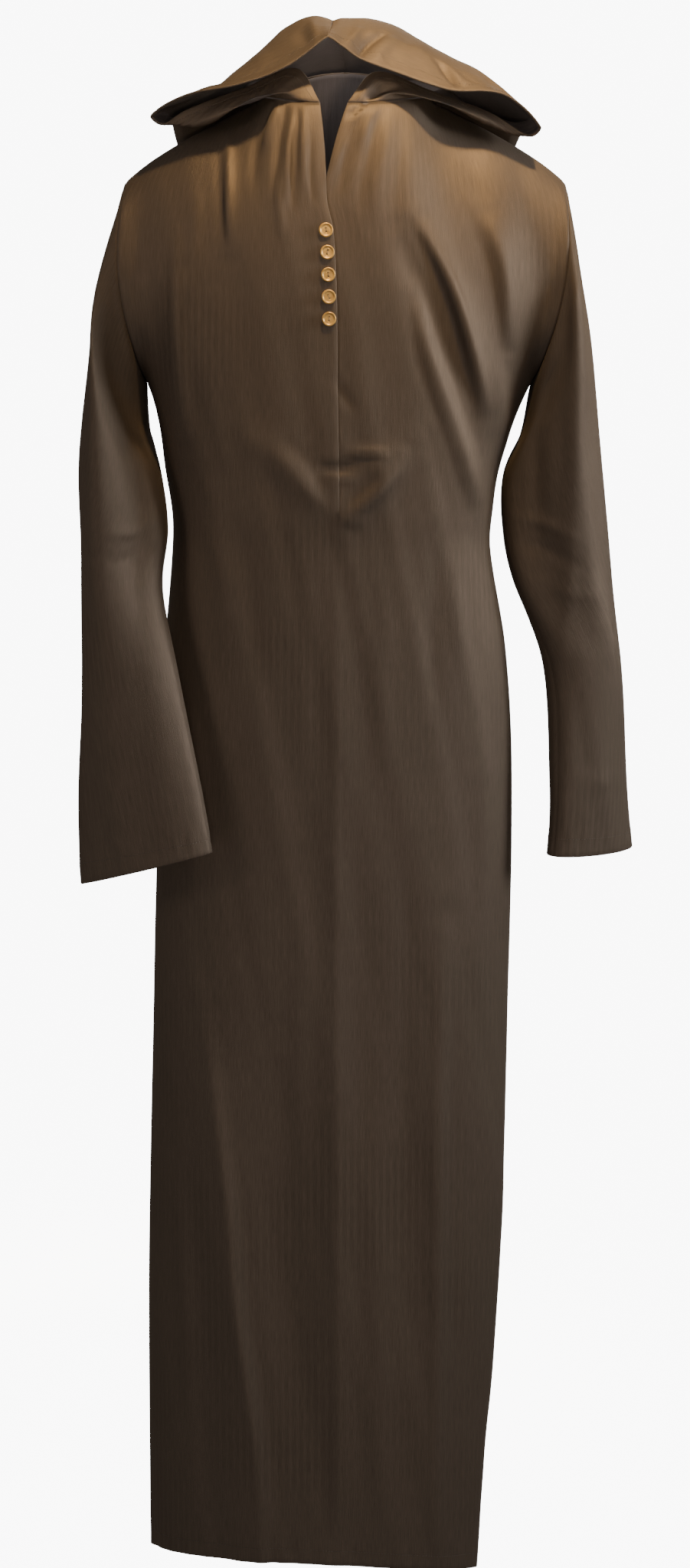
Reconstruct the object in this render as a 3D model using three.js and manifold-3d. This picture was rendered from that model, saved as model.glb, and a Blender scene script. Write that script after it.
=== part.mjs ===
// A hooded thobe: an ankle-length robe of dark brown cotton satin with long set-in sleeves, a
// two-piece hood sewn to the neckline, an open neck slit and a front placket closed by five
// buttons. It is hollow and filled out as if worn, its hood lying open over the shoulders.
// Millimetres, +Z up. X runs across the shoulders and Y from the front (-) to the back (+).
// Left and right are those of someone who faces the front. The origin is the middle of the neck,
// a little below the neck ends of the shoulder seams, where the wearer holds the garment up.

import * as THREE from "three";
import * as BufferGeometryUtils from "three/addons/utils/BufferGeometryUtils.js";
import Module from "manifold-3d";

// Driving dimensions

const WALL = 2;
const SEAM_GAP = 0.3;
const LEFT = -1;
const RIGHT = 1;
const FRONT = -1;
const BACK = 1;

// The neckline is two half ovals that meet at the neck ends of the shoulder seams.
const NECK = {
  halfWidth: 80,
  middle: -9,
  frontDepth: 70,
  backDepth: 76,
  frontHeight: -3,
  sideHeight: 5,
  backHeight: 34,
};

// The shoulder seam falls from the neck to the shoulder point and rounds over at its end.
const SHOULDER = { reach: 211, drop: 67, rounding: 12, roundingPower: 5 };

// The armhole is an oval loop from the shoulder point down to the armpit.
const ARMHOLE = { depth: 50, bow: 13, bottom: -262 };

// Level sections of the body from the armpits to the hem.
const BODY = [
  { z: -262, left: -192, centre: -8, right: 181, front: 99, back: 94 },
  { z: -292, left: -181, centre: -7, right: 167, front: 99, back: 92 },
  { z: -345, left: -176, centre: -6, right: 148, front: 97, back: 88 },
  { z: -385, left: -169, centre: -6, right: 143, front: 96, back: 86 },
  { z: -420, left: -169, centre: -6, right: 140, front: 94, back: 84 },
  { z: -520, left: -177, centre: -7, right: 157, front: 91, back: 88 },
  { z: -640, left: -184, centre: -8, right: 165, front: 90, back: 92 },
  { z: -860, left: -192, centre: -8, right: 163, front: 88, back: 92 },
  { z: -1160, left: -201, centre: -8, right: 154, front: 87, back: 90 },
  { z: -1480, left: -203, centre: -8, right: 130, front: 86, back: 90 },
];
const SECTION_ROUNDNESS = 2.4;
const HEM = { height: -1473, tilt: -13, frontLift: 28, backLift: -6 };

// How far the cloth stands out between the shoulders and the armpit level. The powers set where
// it stands out most, across and down, and how it fades towards the armholes.
const CHEST = {
  front: 11, back: 13, shoulder: 24,
  acrossPower: 1.2, downPower: 0.62, fadePower: 6, levelPower: 3, armholePower: 4,
};

// The neck slit: it swings to the left, is open at the top and closes at its foot.
const SLIT = {
  footHeight: -89, openHalf: 13.5, openPower: 1.6, widestRise: 1.2, spread: 0.34, closedHalf: 0.3,
};
const SLIT_SWING = [
  { z: 10, shift: 0 },
  { z: -45, shift: -6 },
  { z: -89, shift: -9 },
  { z: -120, shift: -3 },
  { z: -200, shift: 0 },
  { z: -300, shift: 0 },
];
const PLACKET = { endHeight: -382, underlapColumns: 2 };

// The largest folds, each a soft ridge (or trough, with a negative depth) along a bent line. They
// fade out at the neck, within so many rows, and at the side seams.
const FOLD_SAMPLES = 14;
const FOLD_END = 0.04;
const FOLD_FADE = { rows: 1.5, sidePower: 8 };
const FRONT_FOLDS = [
  { from: [66, -108], via: [112, -170], to: [137, -300], width: 13, depth: 7 },
  { from: [50, -120], via: [92, -200], to: [118, -330], width: 14, depth: -6 },
  { from: [64, -180], via: [82, -270], to: [132, -385], width: 13, depth: 5 },
  { from: [136, -100], via: [154, -150], to: [156, -235], width: 13, depth: 6 },
  { from: [-111, -40], via: [-108, -90], to: [-108, -150], width: 13, depth: 5 },
  { from: [-150, -150], via: [-166, -230], to: [-160, -330], width: 15, depth: 6 },
  { from: [-95, -305], via: [-40, -350], to: [-8, -392], width: 16, depth: 4 },
  { from: [55, -315], via: [36, -360], to: [-4, -392], width: 16, depth: 5 },
  { from: [-140, -860], via: [-118, -1050], to: [-92, -1470], width: 24, depth: 8 },
  { from: [96, -760], via: [92, -1100], to: [96, -1470], width: 22, depth: 7 },
  { from: [-8, -410], via: [-8, -900], to: [-8, -1470], width: 15, depth: 4 },
  { from: [-60, -900], via: [-52, -1200], to: [-48, -1480], width: 26, depth: -5 },
];
const BACK_FOLDS = [
  { from: [-70, -60], via: [-82, -190], to: [-70, -380], width: 20, depth: 8 },
  { from: [66, -60], via: [78, -200], to: [64, -400], width: 20, depth: 8 },
  { from: [0, -150], via: [-6, -330], to: [-2, -560], width: 24, depth: -8 },
  { from: [-150, -140], via: [-166, -230], to: [-158, -330], width: 18, depth: 7 },
  { from: [148, -140], via: [160, -220], to: [140, -320], width: 18, depth: 7 },
  { from: [-110, -620], via: [-116, -1000], to: [-124, -1480], width: 30, depth: 10 },
  { from: [-18, -560], via: [-14, -1000], to: [-20, -1480], width: 32, depth: 10 },
  { from: [88, -600], via: [92, -1050], to: [84, -1480], width: 30, depth: 10 },
];

// Sleeve rings from the armhole to the cuff: the outer and the inner end of each oval, how far
// it stands out to the front and back between them, and how far it bows away from the body.
const SLEEVE_LEFT = [
  { at: 0.16, outer: [-219, -3, -128], inner: [-190, -8, -312], depth: 52, bow: 21 },
  { at: 0.32, outer: [-237, -26, -214], inner: [-177, -38, -352], depth: 46, bow: 13 },
  { at: 0.48, outer: [-253, -38, -322], inner: [-170, -52, -402], depth: 41, bow: 5 },
  { at: 0.62, outer: [-253, -46, -420], inner: [-176, -66, -460], depth: 34, bow: 0 },
  { at: 0.76, outer: [-253, -54, -530], inner: [-160, -88, -545], depth: 29, bow: 0 },
  { at: 0.9, outer: [-258, -60, -660], inner: [-138, -108, -650], depth: 25, bow: 0 },
  { at: 1, outer: [-257, -64, -745], inner: [-128, -116, -705], depth: 23, bow: 0 },
];
const SLEEVE_RIGHT = [
  { at: 0.16, outer: [220, 0, -128], inner: [170, -2, -315], depth: 52, bow: 17 },
  { at: 0.32, outer: [236, 2, -214], inner: [154, -4, -352], depth: 49, bow: 12 },
  { at: 0.48, outer: [247, 6, -322], inner: [152, -8, -398], depth: 44, bow: 5 },
  { at: 0.62, outer: [257, 12, -420], inner: [163, -16, -452], depth: 38, bow: 0 },
  { at: 0.76, outer: [264, 22, -530], inner: [202, -28, -540], depth: 34, bow: 0 },
  { at: 0.9, outer: [274, 34, -655], inner: [208, -40, -650], depth: 30, bow: 0 },
  { at: 1, outer: [284, 42, -726], inner: [204, -46, -722], depth: 28, bow: 0 },
];
// Long folds of the sleeves: an angle round the ring from its outer end, forward positive.
const SLEEVE_FOLDS = [
  { angle: 75, from: -0.1, to: 0.86, width: 20, depth: 9 },
  { angle: 128, from: 0.02, to: 0.74, width: 24, depth: -15 },
  { angle: -95, from: 0.05, to: 0.8, width: 26, depth: 8 },
  { angle: -140, from: 0.1, to: 0.7, width: 24, depth: -10 },
];
const SLEEVE_FOLD_SHARE = { left: 0.7, right: 1 };
const SLEEVE_FOLD_FADE = 0.12;

// The narrowest angle at which a sleeve's wall leaves the body's, which sets the gap there, and
// the room left in the fork of the armpit.
const SHARPEST_FOLD = 0.28;
const UNDERARM_EASE = 8;
const UNDERARM_POWER = 5;

// Hood sections from the face edge to the centre back. Each starts on the neckline, at the share
// of its length from the slit that "at" gives, runs out over the shoulder, turns at the tip and
// comes back over the top to the centre seam.
const HOOD_STATIONS = ["rise", "lip", "low", "turn", "tip", "over", "mid", "brow", "notch", "crown"];
const HOOD_LEFT = [
  {
    at: 0, rise: [-46, -51, 29], lip: [-96, -38, 12], low: [-150, -33, -8], turn: [-173, -34, -21],
    tip: [-183, -38, -13], over: [-151, -52, 5], mid: [-99, -66, 15], brow: [-55, -74, 30],
    notch: [-31, -78, 46], crown: [-16, -78, 58],
  },
  {
    at: 0.1, rise: [-58, -61, 6], lip: [-99, -48, -5], low: [-139, -34, -21], turn: [-163, -28, -20],
    tip: [-182, -25, -11], over: [-135, -32, 8], mid: [-93, -36, 34], brow: [-57, -38, 55],
    notch: [-34, -40, 68], crown: [-13, -40, 69],
  },
  {
    at: 0.42, rise: [-91, -14, 12], lip: [-113, -10, 1], low: [-139, -5, -10], turn: [-158, 0, -16],
    tip: [-167, 6, -11], over: [-127, 7, 12], mid: [-84, 8, 48], brow: [-52, 8, 73],
    notch: [-31, 8, 83], crown: [-11, 8, 79],
  },
  {
    at: 0.62, rise: [-88, 32, 22], lip: [-108, 54, 2], low: [-128, 70, -30], turn: [-148, 80, -50],
    tip: [-160, 84, -42], over: [-138, 78, -2], mid: [-88, 60, 40], brow: [-52, 50, 64],
    notch: [-28, 46, 73], crown: [-6, 44, 74],
  },
  {
    at: 0.82, rise: [-60, 78, 26], lip: [-74, 98, -4], low: [-88, 116, -48], turn: [-106, 132, -86],
    tip: [-123, 142, -80], over: [-112, 138, -34], mid: [-76, 108, 22], brow: [-42, 92, 50],
    notch: [-20, 86, 61], crown: [-3, 84, 64],
  },
  {
    at: 1, rise: [0, 88, 22], lip: [0, 104, -12], low: [0, 122, -60], turn: [0, 140, -104],
    tip: [0, 160, -112], over: [0, 178, -76], mid: [0, 170, -18], brow: [0, 150, 20],
    notch: [0, 136, 36], crown: [0, 122, 48],
  },
];
const HOOD_RIGHT = [
  {
    at: 0, rise: [29, -53, 26], lip: [78, -38, 11], low: [138, -33, -11], turn: [175, -34, -32],
    tip: [185, -38, -23], over: [150, -52, 6], mid: [97, -66, 10], brow: [45, -74, 26],
    notch: [14, -78, 38], crown: [-16, -78, 58],
  },
  {
    at: 0.1, rise: [46, -62, 6], lip: [92, -48, -2], low: [136, -35, -19], turn: [164, -28, -31],
    tip: [184, -25, -22], over: [146, -32, 11], mid: [103, -36, 32], brow: [50, -38, 56],
    notch: [14, -40, 68], crown: [-13, -40, 69],
  },
  {
    at: 0.42, rise: [91, -14, 12], lip: [113, -10, 1], low: [140, -5, -11], turn: [162, 0, -19],
    tip: [175, 6, -14], over: [144, 6, 18], mid: [98, 8, 46], brow: [46, 8, 73],
    notch: [12, 8, 82], crown: [-11, 8, 79],
  },
  {
    at: 0.62, rise: [88, 32, 22], lip: [108, 54, 2], low: [128, 70, -30], turn: [148, 80, -52],
    tip: [161, 84, -46], over: [143, 78, -4], mid: [94, 60, 40], brow: [48, 50, 66],
    notch: [16, 46, 75], crown: [-6, 44, 74],
  },
  {
    at: 0.82, rise: [60, 78, 26], lip: [74, 98, -4], low: [88, 116, -48], turn: [106, 132, -86],
    tip: [123, 142, -80], over: [112, 138, -34], mid: [76, 108, 24], brow: [40, 92, 52],
    notch: [14, 86, 62], crown: [-3, 84, 64],
  },
  {
    at: 1, rise: [0, 88, 22], lip: [0, 104, -12], low: [0, 122, -60], turn: [0, 140, -104],
    tip: [0, 160, -112], over: [0, 178, -76], mid: [0, 170, -18], brow: [0, 150, 20],
    notch: [0, 136, 36], crown: [0, 122, 48],
  },
];

const BUTTON = {
  radius: 6.8, count: 5, topHeight: -120, pitch: 20.4, fromEdge: 6,
  sides: 20, holeRadius: 0.9, holeSpacing: 3.2, holeSides: 8,
};
// Half section of a button, from its back to its raised rim and dished middle.
const BUTTON_PROFILE = [
  [0, 0], [5.9, 0], [6.8, 0.9], [6.6, 2.3], [5.9, 2.8], [5.1, 2.5], [4.4, 1.7], [0, 1.5],
];

// Places of the mesh columns, as shares of the way from the centre line to a side seam, and how
// many rows there are above and below the armpits.
const FRONT_COLUMNS = [0, 0.055, 0.12, 0.2, 0.29, 0.375, 0.46, 0.55, 0.64, 0.73, 0.82, 0.91, 1];
const BACK_COLUMNS = [0, 0.092, 0.184, 0.276, 0.368, 0.46, 0.6, 0.73, 0.86, 1];
const NECK_SHARE = 0.46;
const UPPER_ROWS = 9;
const FRONT_LOWER_ROWS = 27;
const BACK_LOWER_ROWS = 21;
const SLEEVE_ROWS = 18;
const HOOD_STEPS = 2;

// The steps over which directions are taken along a seam, and where a ray meets the front from.
const SEAM_STEP = 0.01;
const RAY_START = -400;
const MERGE_DISTANCE = 1e-4;

const CLOTH = { color: 0x4a3a2b, roughness: 0.62, metalness: 0.0 };
const BRASS = { color: 0xc9a055, roughness: 0.35, metalness: 0.6 };

// Curves and tables

const vector = (x, y, z) => new THREE.Vector3(x, y, z);
const lerp = THREE.MathUtils.lerp;
const clamp = THREE.MathUtils.clamp;

/** Smooth value between two points of a column, from their values and slopes. */
function hermite(a, b, slopeA, slopeB, t) {
  const t2 = t * t;
  const t3 = t2 * t;
  return (2 * t3 - 3 * t2 + 1) * a + (t3 - 2 * t2 + t) * slopeA
    + (3 * t2 - 2 * t3) * b + (t3 - t2) * slopeB;
}

/** Every column of a table of numbers, smoothly read at one value of its key column. */
function readTable(rows, key, at) {
  const last = rows.length - 1;
  const rising = Math.sign(rows[last][key] - rows[0][key]);
  let i = 0;
  while (i < last - 1 && (at - rows[i + 1][key]) * rising > 0) i += 1;
  const span = rows[i + 1][key] - rows[i][key];
  const t = clamp((at - rows[i][key]) / span, 0, 1);
  const read = {};
  for (const column of Object.keys(rows[0])) {
    const slope = (k) => {
      const before = rows[Math.max(k - 1, 0)];
      const after = rows[Math.min(k + 1, last)];
      return ((after[column] - before[column]) / (after[key] - before[key])) * span;
    };
    read[column] = hermite(rows[i][column], rows[i + 1][column], slope(i), slope(i + 1), t);
  }
  return read;
}

/** One named column of points in a table of sections, smoothly read at one share. */
function readPoint(sections, name, at) {
  const rows = sections.map((section) => {
    const [x, y, z] = section[name];
    return { at: section.at, x, y, z };
  });
  const read = readTable(rows, "at", at);
  return vector(read.x, read.y, read.z);
}

/** A smooth line through points, with the given number of steps between each two. */
function smoothLine(points, steps) {
  let length = 0;
  const rows = points.map((point, i) => {
    if (i > 0) length += point.distanceTo(points[i - 1]);
    return { length, x: point.x, y: point.y, z: point.z };
  });
  const line = [];
  for (let i = 0; i < rows.length - 1; i += 1) {
    for (let k = 0; k < steps; k += 1) {
      const read = readTable(rows, "length", lerp(rows[i].length, rows[i + 1].length, k / steps));
      line.push(vector(read.x, read.y, read.z));
    }
  }
  line.push(points[points.length - 1].clone());
  return line;
}

// Folds

/** How far a fold moves the cloth at x, z: its depth on its line, fading to its sides and ends. */
function foldAt(fold, x, z) {
  const along = Math.abs(fold.to[1] - fold.from[1]) / FOLD_SAMPLES;
  let best = 0;
  for (let i = 0; i <= FOLD_SAMPLES; i += 1) {
    const t = i / FOLD_SAMPLES;
    const lineX = (1 - t) ** 2 * fold.from[0] + 2 * t * (1 - t) * fold.via[0] + t * t * fold.to[0];
    const lineZ = (1 - t) ** 2 * fold.from[1] + 2 * t * (1 - t) * fold.via[1] + t * t * fold.to[1];
    const across = (x - lineX) / fold.width;
    const away = (z - lineZ) / Math.max(along, fold.width);
    const fade = Math.sqrt(Math.sin(Math.PI * clamp(t, FOLD_END, 1 - FOLD_END)));
    best = Math.max(best, Math.exp(-across * across - away * away) * fade);
  }
  return fold.depth * best;
}

const foldsAt = (folds, x, z) => folds.reduce((sum, fold) => sum + foldAt(fold, x, z), 0);

// The body's surface

/** A point of the section at height z. Share runs from the left side seam, -1, to the right, 1. */
function levelPoint(share, z, face) {
  const section = readTable(BODY, "z", z);
  const angle = (share * Math.PI) / 2;
  const sine = Math.sin(angle);
  const cosine = Math.cos(angle);
  const n = SECTION_ROUNDNESS;
  const radius = (Math.abs(sine) ** n + Math.abs(cosine) ** n) ** (-1 / n);
  const middle = (section.left + section.right) / 2;
  const half = (section.right - section.left) / 2;
  const toCentre = (section.centre - middle) * (1 - share * share);
  const depth = face === FRONT ? section.front : section.back;
  return vector(middle + toCentre + half * radius * sine, face * depth * radius * cosine, z);
}

/** The top edge of a body panel: neckline in the middle, a shoulder seam on each side. */
function topEdge(share, face) {
  const side = Math.sign(share) || RIGHT;
  const neckEnd = side * NECK.halfWidth;
  if (Math.abs(share) <= NECK_SHARE) {
    const angle = (Math.abs(share) / NECK_SHARE) * (Math.PI / 2);
    const depth = face === FRONT ? NECK.frontDepth : NECK.backDepth;
    const height = face === FRONT ? NECK.frontHeight : NECK.backHeight;
    return vector(
      lerp(face === FRONT ? NECK.middle : 0, neckEnd, Math.sin(angle)),
      face * depth * Math.cos(angle),
      lerp(height, NECK.sideHeight, Math.sin(angle) ** 2),
    );
  }
  const along = (Math.abs(share) - NECK_SHARE) / (1 - NECK_SHARE);
  const drop = SHOULDER.drop * along + SHOULDER.rounding * along ** SHOULDER.roundingPower;
  return vector(lerp(neckEnd, side * SHOULDER.reach, along), 0, NECK.sideHeight - drop);
}

/** A point of an armhole. The angle is 0 at the shoulder point and pi at the armpit. */
function armholePoint(side, angle, face) {
  const top = topEdge(side, FRONT);
  const bottom = levelPoint(side, ARMHOLE.bottom, FRONT).setY(0);
  const point = top.clone().lerp(bottom, (1 - Math.cos(angle)) / 2);
  point.x += side * ARMHOLE.bow * Math.sin(angle) ** 2;
  point.y += face * ARMHOLE.depth * Math.sin(angle);
  return point;
}

/** How far half of the neck slit stands open at a height. */
function slitOpening(z) {
  const rise = (z - SLIT.footHeight) / (NECK.frontHeight - SLIT.footHeight);
  const open = SLIT.openHalf * clamp(rise, 0, SLIT.widestRise) ** SLIT.openPower;
  return Math.max(open, SLIT.closedHalf);
}

/** Moves a front point sideways for the slit's swing and opening. Edge is the side it lies on. */
function openSlit(point, share, edge) {
  const near = clamp(1 - Math.abs(share) / SLIT.spread, 0, 1) ** 2;
  point.x += readTable(SLIT_SWING, "z", point.z).shift * near;
  if (point.z > PLACKET.endHeight) point.x += edge * slitOpening(point.z) * near;
  return point;
}

/** A point of a body panel above the armpits: 0 is its top edge and 1 is armpit level. */
function upperPoint(share, down, face) {
  const side = Math.sign(share) || RIGHT;
  const angle = down * Math.PI;
  const ease = (1 - Math.cos(angle)) / 2;
  const along = lerp(down, ease, Math.abs(share) ** CHEST.levelPower);
  const atArmpits = levelPoint(share, ARMHOLE.bottom, face);
  const point = topEdge(share, face).lerp(atArmpits, along);
  const straight = topEdge(side, face).lerp(levelPoint(side, ARMHOLE.bottom, face), ease);
  const curve = armholePoint(side, angle, face).sub(straight);
  point.addScaledVector(curve, Math.abs(share) ** CHEST.armholePower);
  const middle = face === FRONT ? CHEST.front : CHEST.back;
  const bulge = middle + CHEST.shoulder * Math.sin(Math.PI * Math.abs(share) ** CHEST.acrossPower);
  const stand = Math.sin(Math.PI * down ** CHEST.downPower) * (1 - share ** CHEST.fadePower);
  point.y += face * bulge * stand;
  return point;
}

/** A point of a body panel below the armpits: 0 is armpit level and 1 is the hem. */
function lowerPoint(share, down, face) {
  const lift = face === FRONT ? HEM.frontLift : HEM.backLift;
  const hem = HEM.height + HEM.tilt * share + lift * (1 - share * share);
  return levelPoint(share, lerp(ARMHOLE.bottom, hem, down), face);
}

/** A finished point of the front or back, with its folds and, in front, the slit. */
function panelPoint(share, row, face, lowerRows, edge) {
  const point = row <= UPPER_ROWS
    ? upperPoint(share, row / UPPER_ROWS, face)
    : lowerPoint(share, (row - UPPER_ROWS) / lowerRows, face);
  const folds = face === FRONT ? FRONT_FOLDS : BACK_FOLDS;
  const inside = (1 - share ** FOLD_FADE.sidePower) * clamp(row / FOLD_FADE.rows, 0, 1);
  point.y += face * foldsAt(folds, point.x, point.z) * inside;
  return face === FRONT ? openSlit(point, share, edge) : point;
}

// Walls

/** The mean direction in which the quads round each point face. */
function pointNormals(points, quads) {
  const normals = points.map(() => vector(0, 0, 0));
  for (const [a, b, c, d] of quads) {
    const face = points[c].clone().sub(points[a]).cross(points[d].clone().sub(points[b]));
    for (const i of [a, b, c, d]) normals[i].add(face);
  }
  return normals.map((normal) => normal.normalize());
}

/** Turns a sheet of quads into a closed wall. Fixed holds the normals that seams share. */
function wallGeometry(points, quads, fixed = new Map(), thickness = WALL) {
  const normals = pointNormals(points, quads);
  fixed.forEach((normal, i) => normals[i].copy(normal).normalize());
  const outer = points.map((p, i) => p.clone().addScaledVector(normals[i], thickness / 2));
  const inner = points.map((p, i) => p.clone().addScaledVector(normals[i], -thickness / 2));
  const count = points.length;
  const index = [];
  const open = new Map();
  for (const quad of quads) {
    const [a, b, c, d] = quad;
    index.push(a, b, c, a, c, d);
    index.push(a + count, c + count, b + count, a + count, d + count, c + count);
    quad.forEach((from, k) => {
      const to = quad[(k + 1) % 4];
      if (!open.delete(`${to} ${from}`)) open.set(`${from} ${to}`, [from, to]);
    });
  }
  for (const [from, to] of open.values()) {
    index.push(from, from + count, to + count, from, to + count, to);
  }
  const geometry = new THREE.BufferGeometry();
  const numbers = [...outer, ...inner].flatMap((p) => [p.x, p.y, p.z]);
  geometry.setAttribute("position", new THREE.Float32BufferAttribute(numbers, 3));
  geometry.setIndex(index);
  geometry.computeVertexNormals();
  return geometry;
}

function pieceMesh(name, geometry, finish) {
  const mesh = new THREE.Mesh(geometry, new THREE.MeshStandardMaterial(finish));
  mesh.name = name;
  return mesh;
}

// Body panels

/** Shares of all columns of a panel, from the left side seam to the right one. */
const mirrored = (half) => [...half.slice(1).reverse().map((share) => -share), ...half];

/**
 * The sheet of a body panel. Down to the placket's end the front's centre column is held twice,
 * once for each edge of the slit.
 */
function panelSheet(face, columns, lowerRows) {
  const shares = mirrored(columns);
  const centre = columns.length - 1;
  const rows = UPPER_ROWS + lowerRows;
  const points = [];
  const fixed = new Map();
  const at = [];
  for (let row = 0; row <= rows; row += 1) {
    at.push(shares.map((share) => {
      const point = panelPoint(share, row, face, lowerRows, share < 0 ? LEFT : RIGHT);
      const atShoulder = row === 0 && Math.abs(share) >= NECK_SHARE;
      const atSide = Math.abs(share) === 1 && row >= UPPER_ROWS;
      if (atShoulder || atSide) point.y = (face * SEAM_GAP) / 2;
      points.push(point);
      if (atShoulder) fixed.set(points.length - 1, shoulderNormal(share));
      if (atSide) fixed.set(points.length - 1, vector(Math.sign(share), 0, 0));
      return { left: points.length - 1, right: points.length - 1 };
    }));
  }
  const slitRows = [];
  if (face === FRONT) {
    for (let row = 0; points[at[row][centre].right].z > PLACKET.endHeight; row += 1) {
      points.push(panelPoint(0, row, face, lowerRows, LEFT));
      at[row][centre].left = points.length - 1;
      slitRows.push(row);
    }
  }
  const quads = [];
  for (let row = 0; row < rows; row += 1) {
    for (let column = 0; column < shares.length - 1; column += 1) {
      const a = at[row][column].right;
      const b = at[row + 1][column].right;
      const c = at[row + 1][column + 1].left;
      const d = at[row][column + 1].left;
      quads.push(face === FRONT ? [a, b, c, d] : [a, d, c, b]);
    }
  }
  return { points, quads, fixed, at, shares, centre, slitRows };
}

/** The direction a shoulder seam faces: up, square to the seam. */
function shoulderNormal(share) {
  const side = Math.sign(share);
  const inward = side * clamp(Math.abs(share) - SEAM_STEP, NECK_SHARE, 1);
  const outward = side * clamp(Math.abs(share) + SEAM_STEP, NECK_SHARE, 1);
  const along = topEdge(outward, FRONT).sub(topEdge(inward, FRONT)).multiplyScalar(side);
  return vector(-along.z, 0, along.x);
}

/** The strip behind the closed part of the slit, made from the front's own points, moved in. */
function underlapGeometry(sheet) {
  const normals = pointNormals(sheet.points, sheet.quads);
  const first = sheet.slitRows.find((row) => {
    const edge = sheet.points[sheet.at[row][sheet.centre].right];
    return edge.z < SLIT.footHeight;
  });
  const last = sheet.slitRows[sheet.slitRows.length - 1] + 1;
  const points = [];
  const rows = [];
  for (let row = first; row <= last; row += 1) {
    const indices = [];
    for (let step = -PLACKET.underlapColumns; step <= PLACKET.underlapColumns; step += 1) {
      const source = sheet.at[row][sheet.centre + step].right;
      const inward = -(WALL + SEAM_GAP);
      points.push(sheet.points[source].clone().addScaledVector(normals[source], inward));
      indices.push(points.length - 1);
    }
    rows.push(indices);
  }
  const quads = [];
  for (let i = 0; i < rows.length - 1; i += 1) {
    for (let k = 0; k < rows[i].length - 1; k += 1) {
      quads.push([rows[i][k], rows[i + 1][k], rows[i + 1][k + 1], rows[i][k + 1]]);
    }
  }
  return wallGeometry(points, quads);
}

// Sleeves

/** How far the folds of a sleeve move its surface at a share of its length and an angle. */
function sleeveFold(at, degrees, share) {
  return SLEEVE_FOLDS.reduce((sum, fold) => {
    const across = (degrees - fold.angle) / fold.width;
    const along = clamp((at - fold.from) / (fold.to - fold.from), 0, 1);
    const fade = Math.sin(Math.PI * along);
    const start = clamp(at / SLEEVE_FOLD_FADE, 0, 1);
    return sum + share * fold.depth * Math.exp(-across * across) * fade * start;
  }, 0);
}

/** A point of a sleeve: at 0 on the armhole, at 1 on the cuff, the angle from the outer end. */
function sleevePoint(side, at, angle) {
  const sections = [
    {
      at: 0,
      outer: topEdge(side, FRONT).toArray(),
      inner: levelPoint(side, ARMHOLE.bottom, FRONT).setY(0).toArray(),
      depth: ARMHOLE.depth,
      bow: ARMHOLE.bow,
    },
    ...(side === LEFT ? SLEEVE_LEFT : SLEEVE_RIGHT),
  ];
  const outer = readPoint(sections, "outer", at);
  const inner = readPoint(sections, "inner", at);
  const widths = sections.map((section) => {
    return { at: section.at, depth: section.depth, bow: section.bow };
  });
  const { depth, bow } = readTable(widths, "at", at);
  const reach = outer.clone().sub(inner);
  const forward = vector(reach.y, -reach.x, 0).multiplyScalar(side).normalize();
  const share = side === LEFT ? SLEEVE_FOLD_SHARE.left : SLEEVE_FOLD_SHARE.right;
  const raised = sleeveFold(at, THREE.MathUtils.radToDeg(angle), share);
  const point = inner.clone().lerp(outer, (1 + Math.cos(angle)) / 2)
    .addScaledVector(forward, (depth + raised) * Math.sin(angle))
    .addScaledVector(reach.normalize(), raised * Math.cos(angle));
  point.x += side * bow * Math.sin(angle) ** 2;
  return point;
}

/** The gap that two walls leave where they meet at an angle, so that their edges just clear. */
function clearance(turn) {
  const half = WALL / 2;
  const folded = Math.max(Math.PI - turn, SHARPEST_FOLD);
  const past = turn <= Math.PI / 2
    ? half * Math.sin(turn)
    : (half * (1 + Math.cos(folded))) / Math.sin(folded);
  return SEAM_GAP + past;
}

/** Moves a point of a sleeve's first ring off the armhole, square to the seam. */
function leaveArmhole(side, angle, point) {
  const face = angle > 0 ? FRONT : BACK;
  const down = Math.abs(angle) / Math.PI;
  const seam = armholePoint(side, Math.abs(angle) + SEAM_STEP, face)
    .sub(armholePoint(side, Math.abs(angle) - SEAM_STEP, face)).normalize();
  const square = (direction) => direction.addScaledVector(seam, -direction.dot(seam)).normalize();
  const body = square(point.clone().sub(upperPoint(side * (1 - SEAM_STEP), down, face)));
  const sleeve = square(sleevePoint(side, SEAM_STEP, angle).sub(point));
  const ease = UNDERARM_EASE * ((1 - Math.cos(angle)) / 2) ** UNDERARM_POWER;
  return point.addScaledVector(sleeve, clearance(body.angleTo(sleeve)) + ease);
}

function sleeveGeometry(side) {
  const around = 2 * UPPER_ROWS;
  const points = [];
  for (let row = 0; row <= SLEEVE_ROWS; row += 1) {
    for (let step = 0; step < around; step += 1) {
      const angle = Math.PI - (step * Math.PI) / UPPER_ROWS;
      const at = row / SLEEVE_ROWS;
      const point = sleevePoint(side, at, angle);
      points.push(row === 0 ? leaveArmhole(side, angle, point) : point);
    }
  }
  const quads = [];
  for (let row = 0; row < SLEEVE_ROWS; row += 1) {
    for (let step = 0; step < around; step += 1) {
      const next = (step + 1) % around;
      const a = row * around + step;
      const b = (row + 1) * around + step;
      const c = (row + 1) * around + next;
      const d = row * around + next;
      quads.push(side === RIGHT ? [a, b, c, d] : [a, d, c, b]);
    }
  }
  return wallGeometry(points, quads);
}

// Hood

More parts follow.
